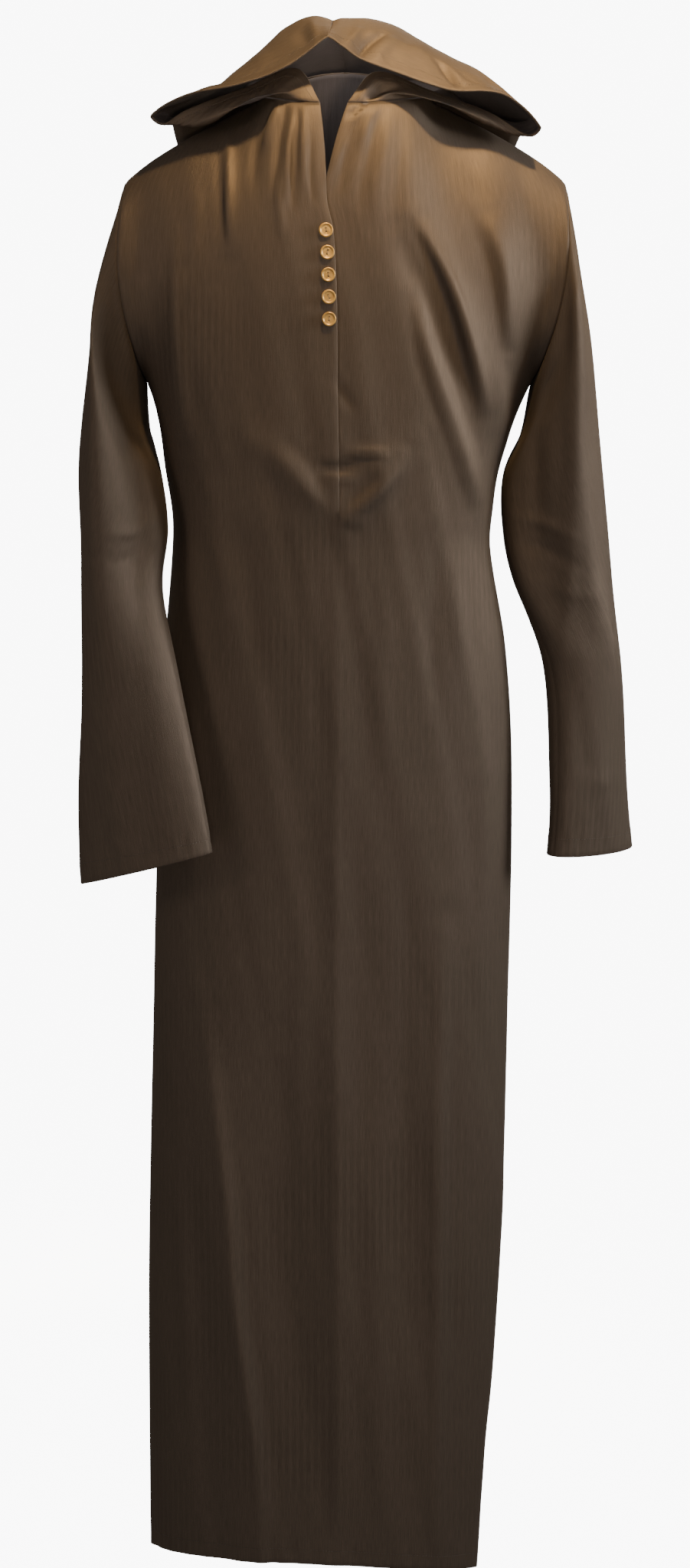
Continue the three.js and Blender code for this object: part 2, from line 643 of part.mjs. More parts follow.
/** A point of the neckline, by its share of the way from the slit to the centre back. */
function necklinePoint(side, at) {
  const face = at < 0.5 ? FRONT : BACK;
  const share = side * NECK_SHARE * (at < 0.5 ? at * 2 : (1 - at) * 2);
  const panel = (place, row) => panelPoint(place, row, face, 1, side);
  const point = panel(share, 0);
  const below = panel(share, 0.5).sub(point);
  const along = panel(share + SEAM_STEP * side, 0).sub(point);
  const normal = along.cross(below).normalize();
  if (normal.z < 0) normal.negate();
  return point.addScaledVector(normal, WALL + SEAM_GAP);
}

function hoodGeometry(side) {
  const sections = side === LEFT ? HOOD_LEFT : HOOD_RIGHT;
  const front = FRONT_COLUMNS.filter((share) => share < NECK_SHARE);
  const back = BACK_COLUMNS.filter((share) => share <= NECK_SHARE).reverse();
  const places = [
    ...front.map((share) => share / NECK_SHARE / 2),
    ...back.map((share) => 1 - share / NECK_SHARE / 2),
  ];
  const points = [];
  const fixed = new Map();
  places.forEach((at) => {
    const stations = HOOD_STATIONS.map((name) => readPoint(sections, name, at));
    const line = smoothLine([necklinePoint(side, at), ...stations], HOOD_STEPS);
    line.forEach((point, i) => {
      const atSeam = i === line.length - 1 || at === 1;
      if (atSeam) point.x += (side * SEAM_GAP) / 2;
      points.push(point);
    });
  });
  const across = HOOD_STATIONS.length * HOOD_STEPS + 1;
  const quads = [];
  for (let i = 0; i < places.length - 1; i += 1) {
    for (let k = 0; k < across - 1; k += 1) {
      const a = i * across + k;
      const b = (i + 1) * across + k;
      quads.push(side === RIGHT ? [a, b, b + 1, a + 1] : [a, a + 1, b + 1, b]);
    }
  }
  const normals = pointNormals(points, quads);
  points.forEach((point, index) => {
    const atSeam = index % across === across - 1 || index >= (places.length - 1) * across;
    if (atSeam) fixed.set(index, normals[index].clone().setX(0));
  });
  return wallGeometry(points, quads, fixed);
}

// Buttons

/** A closed solid from a three.js geometry, for cutting. */
function toSolid(wasm, geometry) {
  const bare = geometry.clone();
  bare.deleteAttribute("normal");
  bare.deleteAttribute("uv");
  const merged = BufferGeometryUtils.mergeVertices(bare, MERGE_DISTANCE);
  return new wasm.Manifold(new wasm.Mesh({
    numProp: 3,
    vertProperties: new Float32Array(merged.attributes.position.array),
    triVerts: new Uint32Array(merged.index.array),
  }));
}

function buttonGeometry(wasm) {
  const profile = BUTTON_PROFILE.map(([radius, height]) => new THREE.Vector2(radius, height));
  let solid = toSolid(wasm, new THREE.LatheGeometry(profile, BUTTON.sides));
  for (const side of [LEFT, RIGHT]) {
    const hole = new THREE.CylinderGeometry(
      BUTTON.holeRadius, BUTTON.holeRadius, 2 * BUTTON.radius, BUTTON.holeSides,
    );
    hole.translate((side * BUTTON.holeSpacing) / 2, 0, 0);
    solid = solid.subtract(toSolid(wasm, hole));
  }
  const mesh = solid.getMesh();
  const geometry = new THREE.BufferGeometry();
  geometry.setAttribute("position", new THREE.BufferAttribute(mesh.vertProperties, 3));
  geometry.setIndex(new THREE.BufferAttribute(mesh.triVerts, 1));
  return geometry;
}

/** The front's outer surface beside the slit at a height, and the way it faces. */
function frontSurface(sheet, x, z) {
  const ray = new THREE.Ray(vector(x, RAY_START, z), vector(0, 1, 0));
  let hit = null;
  for (const [a, b, c, d] of sheet.quads) {
    for (const corners of [[a, b, c], [a, c, d]]) {
      const [p, q, r] = corners.map((i) => sheet.points[i]);
      const point = ray.intersectTriangle(p, q, r, false, vector(0, 0, 0));
      if (point && (!hit || point.y < hit.point.y)) {
        hit = { point, normal: q.clone().sub(p).cross(r.clone().sub(p)).normalize() };
      }
    }
  }
  return hit;
}

function buttonMeshes(wasm, sheet) {
  const geometry = buttonGeometry(wasm);
  const meshes = [];
  for (let i = 0; i < BUTTON.count; i += 1) {
    const z = BUTTON.topHeight - i * BUTTON.pitch;
    const edge = NECK.middle + readTable(SLIT_SWING, "z", z).shift;
    const { point, normal } = frontSurface(sheet, edge - BUTTON.fromEdge, z);
    const mesh = pieceMesh(`button_${i + 1}`, geometry.clone(), BRASS);
    mesh.position.copy(point).addScaledVector(normal, WALL / 2 + SEAM_GAP);
    const across = vector(0, 0, 1).cross(normal).normalize();
    const upward = normal.clone().cross(across);
    mesh.setRotationFromMatrix(new THREE.Matrix4().makeBasis(upward, normal, across));
    meshes.push(mesh);
  }
  return meshes;
}

// Assembly

const wasm = await Module();
wasm.setup();

const thobe = new THREE.Group();
thobe.name = "hooded_thobe";

const frontSheet = panelSheet(FRONT, FRONT_COLUMNS, FRONT_LOWER_ROWS);
const backSheet = panelSheet(BACK, BACK_COLUMNS, BACK_LOWER_ROWS);
const wallOf = (sheet) => wallGeometry(sheet.points, sheet.quads, sheet.fixed);
thobe.add(pieceMesh("front", wallOf(frontSheet), CLOTH));
thobe.add(pieceMesh("back", wallOf(backSheet), CLOTH));
thobe.add(pieceMesh("placket_underlap", underlapGeometry(frontSheet), CLOTH));
thobe.add(pieceMesh("sleeve_left", sleeveGeometry(LEFT), CLOTH));
thobe.add(pieceMesh("sleeve_right", sleeveGeometry(RIGHT), CLOTH));
thobe.add(pieceMesh("hood_left", hoodGeometry(LEFT), CLOTH));
thobe.add(pieceMesh("hood_right", hoodGeometry(RIGHT), CLOTH));
thobe.add(...buttonMeshes(wasm, frontSheet));

export default thobe;
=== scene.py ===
# The looks of a hooded thobe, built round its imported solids.
# The tables are in millimetres, and meshes are made in metres. X runs across, -Y is the front and
# +Z is up. Left and right are those of someone who faces the front.
import math

import bpy
import numpy as np
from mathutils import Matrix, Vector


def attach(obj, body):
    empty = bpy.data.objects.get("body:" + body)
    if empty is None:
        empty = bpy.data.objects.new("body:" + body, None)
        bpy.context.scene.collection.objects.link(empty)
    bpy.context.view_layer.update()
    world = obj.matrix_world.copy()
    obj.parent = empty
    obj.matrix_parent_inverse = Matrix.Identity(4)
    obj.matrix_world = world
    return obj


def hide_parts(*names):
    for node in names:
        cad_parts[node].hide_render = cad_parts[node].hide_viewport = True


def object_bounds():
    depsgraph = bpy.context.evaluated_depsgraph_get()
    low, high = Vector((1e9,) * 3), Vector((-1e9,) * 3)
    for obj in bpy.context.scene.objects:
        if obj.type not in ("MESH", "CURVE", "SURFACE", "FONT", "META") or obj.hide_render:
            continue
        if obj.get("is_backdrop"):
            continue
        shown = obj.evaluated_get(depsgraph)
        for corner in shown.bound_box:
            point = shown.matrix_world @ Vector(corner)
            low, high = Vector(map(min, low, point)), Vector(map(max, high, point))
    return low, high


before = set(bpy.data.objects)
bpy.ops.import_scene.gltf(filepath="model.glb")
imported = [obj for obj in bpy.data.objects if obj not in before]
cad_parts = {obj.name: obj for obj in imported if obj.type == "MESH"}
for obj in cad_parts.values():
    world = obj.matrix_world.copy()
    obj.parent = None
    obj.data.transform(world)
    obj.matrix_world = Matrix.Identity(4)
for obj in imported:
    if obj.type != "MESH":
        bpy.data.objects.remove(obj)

cad_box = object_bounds()

MM = 0.001
LEFT, RIGHT = -1, 1
FRONT, BACK = -1, 1

# Cut of the garment, the same sizes as its solids

NECK_HALF_WIDTH = 80
NECK_MIDDLE = -9
NECK_DEPTH = {FRONT: 70, BACK: 76}
NECK_HEIGHT = {FRONT: -3, BACK: 34}
NECK_SIDE_HEIGHT = 5
NECK_SHARE = 0.46
SHOULDER_REACH = 211
SHOULDER_DROP = 67
SHOULDER_ROUNDING = 12
SHOULDER_ROUNDING_POWER = 5
ARMHOLE_DEPTH = 50
ARMHOLE_BOW = 13
ARMPIT_HEIGHT = -262
SECTION_ROUNDNESS = 2.4

# Level sections of the body: z, left, centre, right, front, back
BODY = [
    (-262, -192, -8, 181, 99, 94),
    (-292, -181, -7, 167, 99, 92),
    (-345, -176, -6, 148, 97, 88),
    (-385, -169, -6, 143, 96, 86),
    (-420, -169, -6, 140, 94, 84),
    (-520, -177, -7, 157, 91, 88),
    (-640, -184, -8, 165, 90, 92),
    (-860, -192, -8, 163, 88, 92),
    (-1160, -201, -8, 154, 87, 90),
    (-1480, -203, -8, 130, 86, 90),
]
HEM_HEIGHT = -1473
HEM_TILT = -13
HEM_LIFT = {FRONT: 28, BACK: -6}
CHEST_BULGE = {FRONT: 11, BACK: 13}
SHOULDER_BULGE = 24
BULGE_ACROSS_POWER = 1.2
BULGE_DOWN_POWER = 0.62
BULGE_FADE_POWER = 6
LEVEL_POWER = 3
ARMHOLE_POWER = 4
FOLD_SIDE_POWER = 8

SLIT_FOOT = -89
SLIT_OPEN_HALF = 13.5
SLIT_OPEN_POWER = 1.6
SLIT_WIDEST_RISE = 1.2
SLIT_SPREAD = 0.34
SLIT_CLOSED_HALF = 0.15
PLACKET_END = -382
# Swing of the slit to the left: z, shift
SLIT_SWING = [(10, 0), (-45, -6), (-89, -9), (-120, -3), (-200, 0), (-300, 0)]

# Sleeve rings: share of the length, outer end, inner end, depth to front and back, bow outward
SLEEVES = {
    LEFT: [
        (0.16, (-219, -3, -128), (-190, -8, -312), 52, 21),
        (0.32, (-237, -26, -214), (-177, -38, -352), 46, 13),
        (0.48, (-253, -38, -322), (-170, -52, -402), 41, 5),
        (0.62, (-253, -46, -420), (-176, -66, -460), 34, 0),
        (0.76, (-253, -54, -530), (-160, -88, -545), 29, 0),
        (0.9, (-258, -60, -660), (-138, -108, -650), 25, 0),
        (1, (-257, -64, -745), (-128, -116, -705), 23, 0),
    ],
    RIGHT: [
        (0.16, (220, 0, -128), (170, -2, -315), 52, 17),
        (0.32, (236, 2, -214), (154, -4, -352), 49, 12),
        (0.48, (247, 6, -322), (152, -8, -398), 44, 5),
        (0.62, (257, 12, -420), (163, -16, -452), 38, 0),
        (0.76, (264, 22, -530), (202, -28, -540), 34, 0),
        (0.9, (274, 34, -655), (208, -40, -650), 30, 0),
        (1, (284, 42, -726), (204, -46, -722), 28, 0),
    ],
}
# Long folds of the sleeves: angle from the outer end, from, to, width, depth
SLEEVE_FOLDS = [
    (75, -0.1, 0.86, 20, 9),
    (128, 0.02, 0.74, 24, -15),
    (-95, 0.05, 0.8, 26, 8),
    (-140, 0.1, 0.7, 24, -10),
]
SLEEVE_FOLD_SHARE = {LEFT: 0.7, RIGHT: 1}
SLEEVE_FOLD_FADE = 0.12

# Hood sections: share of the neckline from the slit, then rise, lip, low, turn, tip, over, mid,
# brow, notch and crown, from the neckline out over the shoulder and back to the centre seam
HOOD_BACK = (1, (0, 88, 22), (0, 104, -12), (0, 122, -60), (0, 140, -104), (0, 160, -112),
             (0, 178, -76), (0, 170, -18), (0, 150, 20), (0, 136, 36), (0, 122, 48))
HOODS = {
    LEFT: [
        (0, (-46, -51, 29), (-96, -38, 12), (-150, -33, -8), (-173, -34, -21), (-183, -38, -13),
         (-151, -52, 5), (-99, -66, 15), (-55, -74, 30), (-31, -78, 46), (-16, -78, 58)),
        (0.1, (-58, -61, 6), (-99, -48, -5), (-139, -34, -21), (-163, -28, -20), (-182, -25, -11),
         (-135, -32, 8), (-93, -36, 34), (-57, -38, 55), (-34, -40, 68), (-13, -40, 69)),
        (0.42, (-91, -14, 12), (-113, -10, 1), (-139, -5, -10), (-158, 0, -16), (-167, 6, -11),
         (-127, 7, 12), (-84, 8, 48), (-52, 8, 73), (-31, 8, 83), (-11, 8, 79)),
        (0.62, (-88, 32, 22), (-108, 54, 2), (-128, 70, -30), (-148, 80, -50), (-160, 84, -42),
         (-138, 78, -2), (-88, 60, 40), (-52, 50, 64), (-28, 46, 73), (-6, 44, 74)),
        (0.82, (-60, 78, 26), (-74, 98, -4), (-88, 116, -48), (-106, 132, -86), (-123, 142, -80),
         (-112, 138, -34), (-76, 108, 22), (-42, 92, 50), (-20, 86, 61), (-3, 84, 64)),
        HOOD_BACK,
    ],
    RIGHT: [
        (0, (29, -53, 26), (78, -38, 11), (138, -33, -11), (175, -34, -32), (185, -38, -23),
         (150, -52, 6), (97, -66, 10), (45, -74, 26), (14, -78, 38), (-16, -78, 58)),
        (0.1, (46, -62, 6), (92, -48, -2), (136, -35, -19), (164, -28, -31), (184, -25, -22),
         (146, -32, 11), (103, -36, 32), (50, -38, 56), (14, -40, 68), (-13, -40, 69)),
        (0.42, (91, -14, 12), (113, -10, 1), (140, -5, -11), (162, 0, -19), (175, 6, -14),
         (144, 6, 18), (98, 8, 46), (46, 8, 73), (12, 8, 82), (-11, 8, 79)),
        (0.62, (88, 32, 22), (108, 54, 2), (128, 70, -30), (148, 80, -52), (161, 84, -46),
         (143, 78, -4), (94, 60, 40), (48, 50, 66), (16, 46, 75), (-6, 44, 74)),
        (0.82, (60, 78, 26), (74, 98, -4), (88, 116, -48), (106, 132, -86), (123, 142, -80),
         (112, 138, -34), (76, 108, 24), (40, 92, 52), (14, 86, 62), (-3, 84, 64)),
        HOOD_BACK,
    ],
}

# Largest folds of the body, as in its solids: from, via, to (x, z), width, depth
FOLDS = {
    FRONT: [
        ((66, -108), (112, -170), (137, -300), 13, 7),
        ((50, -120), (92, -200), (118, -330), 14, -6),
        ((64, -180), (82, -270), (132, -385), 13, 5),
        ((136, -100), (154, -150), (156, -235), 13, 6),
        ((-111, -40), (-108, -90), (-108, -150), 13, 5),
        ((-150, -150), (-166, -230), (-160, -330), 15, 6),
        ((-95, -305), (-40, -350), (-8, -392), 16, 4),
        ((55, -315), (36, -360), (-4, -392), 16, 5),
        ((-140, -860), (-118, -1050), (-92, -1470), 24, 8),
        ((96, -760), (92, -1100), (96, -1470), 22, 7),
        ((-8, -410), (-8, -900), (-8, -1470), 15, 4),
        ((-60, -900), (-52, -1200), (-48, -1480), 26, -5),
    ],
    BACK: [
        ((-70, -60), (-82, -190), (-70, -380), 20, 8),
        ((66, -60), (78, -200), (64, -400), 20, 8),
        ((0, -150), (-6, -330), (-2, -560), 24, -8),
        ((-150, -140), (-166, -230), (-158, -330), 18, 7),
        ((148, -140), (160, -220), (140, -320), 18, 7),
        ((-110, -620), (-116, -1000), (-124, -1480), 30, 10),
        ((-18, -560), (-14, -1000), (-20, -1480), 32, 10),
        ((88, -600), (92, -1050), (84, -1480), 30, 10),
    ],
}

# Fine creases, listed one by one: a path in x and z, half width, and depth outward
CREASES = {
    FRONT: [
        # beside the slit, under the neckline
        ([(-30, -10), (-33, -38), (-33, -84)], 3.2, 2.8),
        ([(-37, -6), (-42, -40), (-46, -100)], 3.4, -3.4),
        ([(-43, -16), (-50, -46), (-53, -96)], 3.2, 4.2),
        ([(-50, -4), (-60, -34), (-66, -84)], 4, -3.6),
        ([(-56, 2), (-67, -20), (-76, -44)], 4.2, 4.6),
        ([(-70, -6), (-82, -34), (-86, -84)], 4.6, -2.6),
        ([(-22, -30), (-25, -62), (-22, -96)], 2.6, -2.4),
        ([(-57, -60), (-60, -84), (-58, -128)], 3.6, 2.6),
        ([(34, 6), (19, -19), (16, -44)], 3.6, 3.6),
        ([(8, -26), (5, -52), (2, -90)], 3.2, -3.2),
        ([(0, -36), (-5, -56), (-8, -80)], 3, 2.2),
        ([(27, -18), (24, -50), (18, -104)], 3.6, -2.4),
        ([(40, -8), (36, -54), (30, -110)], 5, 2),
        ([(54, -10), (52, -54), (48, -110)], 6, -1.5),
        # the deep crease that parts the turned right edge of the slit from the front
        ([(24, 12), (11, -2), (-3, -15)], 3.2, -8),
        ([(30, 8), (16, -6), (2, -20)], 3.4, 3),
        # left shoulder and chest
        ([(-110, -34), (-109, -72), (-108, -128)], 3.6, 4.2),
        ([(-118, -40), (-118, -84), (-116, -134)], 4.5, -3),
        ([(-90, -30), (-88, -76), (-90, -130)], 7, 1.3),
        ([(-138, -80), (-142, -130), (-150, -190)], 7, 1.8),
        ([(-158, -120), (-160, -180), (-156, -250)], 6, 2.4),
        ([(-148, -170), (-149, -226), (-143, -300)], 7, -2.4),
        ([(-128, -220), (-124, -280), (-112, -350)], 9, 1.8),
        # right chest, fanning down from the shoulder
        ([(69, -112), (87, -143), (104, -178), (120, -229), (134, -284)], 5, 3.46),
        ([(60, -112), (78, -146), (94, -184), (110, -236), (124, -292)], 5.5, -3.6),
        ([(66, -170), (76, -220), (92, -265), (110, -313), (127, -372)], 5.5, 2.59),
        ([(58, -184), (67, -228), (82, -276), (99, -324), (114, -374)], 6, -2.16),
        ([(134, -108), (150, -152), (155, -218)], 5, 1.6),
        ([(125, -120), (140, -162), (146, -226)], 5.5, -1.3),
        ([(110, -78), (124, -104), (136, -140)], 7, 1.01),
        ([(144, -240), (150, -290), (144, -338)], 7, 1.44),
        # pucker at the foot of the placket
        ([(3, -326), (22, -325), (42, -328)], 3.6, 3.4),
        ([(-26, -338), (-8, -341), (14, -337)], 4, -3.4),
        ([(34, -346), (20, -358), (2, -376)], 7, -3.4),
        ([(54, -338), (40, -355), (20, -373), (-4, -389)], 4.5, 2.52),
        ([(-8, -388), (4, -391), (20, -390)], 4, 1.2),
        ([(-74, -322), (-54, -338), (-36, -360), (-12, -384)], 4.5, 0.9),
        ([(-62, -312), (-40, -330), (-24, -352), (-10, -372)], 6, -0.9),
        ([(-12, -346), (-2, -350), (10, -349)], 3.4, 1.44),
        ([(-9, -256), (-2, -270), (9, -288)], 3.6, -1.92),
        ([(-4, -300), (-2, -318), (-5, -330)], 3.4, 0.9),
        # waist
        ([(-132, -392), (-118, -440), (-112, -520)], 10, 1.8),
        ([(-96, -400), (-88, -470), (-90, -560)], 9, -1.5),
        ([(112, -400), (108, -460), (112, -540)], 9, 1.8),
        ([(88, -410), (84, -480), (84, -580)], 9, -1.5),
        ([(-40, -430), (-36, -520), (-40, -640)], 10, 1.2),
        ([(40, -430), (36, -540), (38, -660)], 10, 1.2),
        # skirt
        ([(-136, -905), (-117, -1053), (-108, -1170), (-88, -1341), (-84, -1470)], 7, 3.2),
        ([(-122, -930), (-104, -1060), (-94, -1180), (-74, -1340), (-68, -1470)], 10, -2.6),
        ([(94, -790), (92, -980), (93, -1180), (92, -1360), (90, -1480)], 7, 2.8),
        ([(108, -820), (106, -1000), (108, -1200), (106, -1400)], 9, -2.2),
        ([(-8, -400), (-9, -700), (-8, -1000), (-9, -1240), (-9, -1470)], 3, 1),
        ([(34, -900), (30, -1100), (36, -1300), (34, -1475)], 12, 1.8),
        ([(60, -700), (58, -900), (62, -1100)], 11, -1.5),
        ([(-166, -1000), (-160, -1180), (-150, -1400)], 9, 2.2),
        ([(-40, -760), (-44, -960), (-38, -1150)], 11, 1.5),
        ([(-150, -560), (-148, -680), (-152, -800)], 10, 1.6),
        ([(134, -600), (136, -720), (132, -860)], 9, 1.6),
        ([(-12, -1180), (-20, -1330), (-26, -1478)], 9, -1.6),
    ],
    BACK: [
        ([(-40, 6), (-44, -60), (-40, -150)], 7, 2),
        ([(38, 6), (42, -70), (40, -170)], 7, 2),
        ([(-100, -34), (-106, -100), (-112, -200)], 7, 2.4),
        ([(98, -34), (104, -110), (108, -210)], 7, 2.4),
        ([(-82, -50), (-88, -130), (-92, -230)], 8, -2),
        ([(80, -50), (86, -130), (88, -240)], 8, -2),
        ([(-160, -150), (-150, -230), (-128, -330)], 6, 3),
        ([(-148, -160), (-138, -240), (-114, -340)], 7, -2.4),
        ([(156, -150), (146, -240), (124, -340)], 6, 3),
        ([(144, -160), (134, -250), (110, -350)], 7, -2.4),
        ([(-30, -240), (-26, -330), (-30, -440)], 8, 2),
        ([(32, -250), (28, -350), (32, -460)], 8, 2),
        ([(-124, -380), (-90, -420), (-50, -440)], 9, 2),
        ([(112, -390), (80, -430), (44, -450)], 9, 2),
        ([(-112, -640), (-116, -900), (-120, -1200), (-122, -1470)], 9, 3),
        ([(-92, -660), (-94, -900), (-98, -1200), (-98, -1470)], 11, -2.4),
        ([(-18, -600), (-16, -900), (-18, -1200), (-20, -1470)], 9, 3),
        ([(8, -620), (10, -900), (10, -1200), (12, -1470)], 11, -2.2),
        ([(88, -640), (92, -900), (90, -1200), (86, -1470)], 9, 3),
        ([(110, -700), (114, -950), (110, -1200)], 10, -2),
        ([(-160, -700), (-166, -950), (-168, -1250)], 10, 2),
        ([(44, -800), (48, -1050), (46, -1300)], 11, 1.6),
    ],
}
# The same on the sleeves, on the half towards the front and on the half towards the back
SLEEVE_CREASES = {
    (LEFT, FRONT): [
        ([(-206, -112), (-205, -160), (-203, -215), (-198, -262)], 6.6, 2.31),
        ([(-216, -120), (-215, -175), (-212, -250)], 6.6, -1.65),
        ([(-198, -256), (-191, -315), (-184, -375), (-178, -451)], 7.7, 1.76),
        ([(-210, -290), (-203, -350), (-196, -430)], 9.9, -1.32),
        ([(-232, -180), (-240, -280), (-240, -400)], 11, 0.99),
        ([(-178, -388), (-204, -402), (-232, -402)], 6.6, 1.21),
        ([(-180, -414), (-206, -428), (-238, -426)], 7.7, -1.21),
        ([(-176, -440), (-202, -462), (-234, -474)], 8.8, 0.99),
        ([(-168, -500), (-157, -560), (-146, -620), (-136, -690)], 8.8, 1.21),
        ([(-230, -520), (-222, -610), (-218, -715)], 11, 0.99),
        ([(-204, -520), (-192, -620), (-184, -706)], 11, -0.99),
        ([(-250, -560), (-250, -650), (-248, -725)], 8.8, -0.77),
    ],
    (LEFT, BACK): [
        ([(-225, -150), (-234, -250), (-236, -350)], 8.8, 1.43),
        ([(-208, -200), (-212, -320), (-210, -400)], 9.9, -1.32),
        ([(-190, -395), (-214, -416), (-244, -420)], 7.7, 1.32),
        ([(-184, -425), (-210, -446), (-240, -450)], 8.8, -1.1),
        ([(-222, -520), (-210, -620), (-206, -710)], 9.9, 1.1),
        ([(-190, -540), (-176, -620), (-166, -700)], 9.9, -0.99),
    ],
    (RIGHT, FRONT): [
        ([(211, -87), (215, -124), (221, -200), (223, -271), (222, -375)], 6.6, 2.09),
        ([(222, -375), (219, -440), (214, -496), (206, -557)], 7.7, 1.54),
        ([(203, -130), (207, -200), (208, -280), (204, -400), (198, -480)], 8.8, -2.2),
        ([(236, -150), (243, -250), (246, -400)], 9.9, 0.99),
        ([(186, -290), (178, -345), (178, -410)], 7.7, 1.54),
        ([(166, -392), (194, -398), (226, -414)], 6.6, 1.32),
        ([(168, -414), (198, -424), (232, -442)], 7.7, -1.32),
        ([(182, -446), (210, -462), (244, -470)], 7.7, 0.99),
        ([(246, -500), (254, -600), (258, -700)], 11, 0.99),
        ([(228, -520), (232, -620), (234, -710)], 9.9, -0.88),
        ([(214, -560), (216, -640), (214, -712)], 7.7, 0.88),
        ([(224, -640), (246, -650), (268, -652)], 8.8, 0.66),
    ],
    (RIGHT, BACK): [
        ([(222, -150), (234, -260), (242, -370)], 8.8, 1.43),
        ([(204, -230), (212, -330), (220, -420)], 9.9, -1.32),
        ([(186, -404), (218, -412), (248, -416)], 7.7, 1.32),
        ([(180, -432), (212, -446), (246, -452)], 8.8, -1.1),
        ([(238, -520), (250, -620), (256, -710)], 9.9, 1.1),
        ([(222, -560), (226, -640), (226, -715)], 9.9, -0.88),
    ],
}
# The same on the hood. A place is a share of the neckline, and a step along the hood section:
# 0 neckline, 1 rise, 2 lip, 3 low, 4 turn, 5 tip, 6 over, 7 mid, 8 brow, 9 notch, 10 crown
HOOD_CREASES = {
    LEFT: [
        ([(0.02, 8.9), (0.06, 8.75), (0.14, 8.6)], 8, -3.6),
        ([(0, 9.3), (0.07, 9.2), (0.2, 9.1)], 5, 1.8),
        ([(0.02, 7.6), (0.08, 7.4), (0.2, 7.2)], 9, 2),
        ([(0.03, 6.6), (0.1, 6.4), (0.3, 6.2)], 7, -2),
        ([(0.05, 2.2), (0.08, 2.8), (0.1, 3.4)], 6, 2),
        ([(0.05, 1.4), (0.08, 1.7), (0.14, 2)], 6, -2.2),
        ([(0.35, 8), (0.6, 7.6), (0.85, 7)], 10, 2.6),
        ([(0.3, 9), (0.6, 8.8), (0.9, 8.2)], 9, -2.2),
        ([(0.55, 6), (0.75, 5.7), (0.95, 5.4)], 9, 2.4),
        ([(0.6, 4.4), (0.8, 4.2), (0.95, 4)], 9, 2),
        ([(0.65, 9.6), (0.85, 9), (0.95, 7.6)], 8, 1.8),
    ],
    RIGHT: [
        ([(0, 9.05), (0.05, 8.75), (0.115, 8.35)], 3.6, -6),
        ([(0, 9.45), (0.05, 9.2), (0.12, 8.95)], 4.6, 3),
        ([(0, 8.6), (0.05, 8.35), (0.12, 8)], 6, 2.2),
        ([(0.09, 7.3), (0.055, 7.1), (0.02, 6.9)], 3.2, -4.4),
        ([(0.08, 7.05), (0.05, 6.88), (0.02, 6.7)], 3.6, 2),
        ([(0.03, 7.9), (0.1, 7.7), (0.25, 7.5)], 9, 1.8),
        ([(0.03, 6.3), (0.1, 6.2), (0.3, 6.1)], 7, -2),
        ([(0.02, 1.1), (0.03, 0.6), (0.035, 0)], 4.5, 3.4),
        ([(0.055, 1.3), (0.062, 0.8), (0.068, 0.4), (0.072, 0)], 4.2, -6.5),
        ([(0.05, 2.2), (0.08, 2.8), (0.1, 3.4)], 6, 2),
        ([(0.35, 8), (0.6, 7.6), (0.85, 7)], 10, 2.6),
        ([(0.3, 9.2), (0.6, 8.9), (0.9, 8.3)], 9, -2.2),
        ([(0.55, 6), (0.75, 5.7), (0.95, 5.4)], 9, 2.4),
        ([(0.6, 4.4), (0.8, 4.2), (0.95, 4)], 9, 2),
        ([(0.65, 9.6), (0.85, 9), (0.95, 7.6)], 8, 1.8),
    ],
}

# Cloth as it is sewn

CLOTH = 0.7
HEM_ROLL = 0.75
HEM_TURNS = (45, 90, 135)
HEM_STEPS = 4
HEM_STITCH_ROW = -4
HEM_CLOTH_STEP = 3
HOOD_HEM_CLOTH_STEP = 2.5
SEAM_TUCK = 0.9
SEAM_TUCK_WIDTH = 4.5
UNDERARM_TUCK = 0.8
LAP_LIFT = 1.3
LAP_SINK = 0.45
LAP_WIDTH = 16
LAP_FOOT_FADE = 24
LAP_ABOVE = 26
LAP_TOP_FADE = 40
LAP_UNDER = 2.5
LAP_UNDER_WIDTH = 3
SLIT_END_FADE = 14
SLIT_TURNS = (60, 120)
SLIT_ROLL = 0.5
SLIT_ROLL_DEPTH = 0.55
SLIT_FACING_STEPS = 4
SLIT_FACING_BEHIND = 1.1
SLIT_CLOTH_STEP = 2
UNDERLAP_BEHIND = 2.6
UNDERLAP_BELOW = 8
UNDERLAP_HALF_COLUMNS = 7
HOOD_SEAM_LIFT = 0.9
HOOD_CENTRE_GAP = 0.2

# How the cloth lies: distances in millimetres over which creases fade towards edges and seams

EASE_ROUNDS = 130
ARMPIT_EASE = 75
CORNER_EASE = 0.13
CORNER_EASE_END = 60
FOLD_STEPS = 7
FOLD_TOP_FADE = 40
CREASE_STEPS = 22
CREASE_REACH = 3
CREASE_END = 0.02
CREASE_END_POWER = 0.6
CREASE_SIDE_FADE = 14
CREASE_TOP_FADE = 12
CREASE_TOP_SHARE = 0.15
WAVE_SIDE_FADE = 30
HEM_FADE = 40
CUFF_FADE = 20
CUFF_SHARE = 0.25
NECK_SEAM_FADE = 9
CENTRE_SEAM_FADE = 10
BACK_SEAM_FADE = 16
FACE_FADE = 10
FACE_SHARE = 0.35
# Pucker along a hem: height, turn for each millimetre, distance from the edge, width
BODY_PUCKER = (0.5, 0.31, 17, 16)
CUFF_PUCKER = (0.35, 0.42, 15, 9)
FACE_PUCKER = (0.35, 0.45, 12, 7)
# Slow waves: wavelength and height, then turn, lean and slope
WAVES = ((130, 0.9), (74, 0.6), (41, 0.3), (23, 0.13))
WAVES_EACH = 3
WAVE_TURN = 0.25
WAVE_LEAN = (3, 5)
WAVE_SLOPE = 0.8
WAVE_ROUND = 6.28
HOOD_WAVE_SHARE = 1.1
HOOD_WAVE_DEPTH = 0.6

# Fine grids

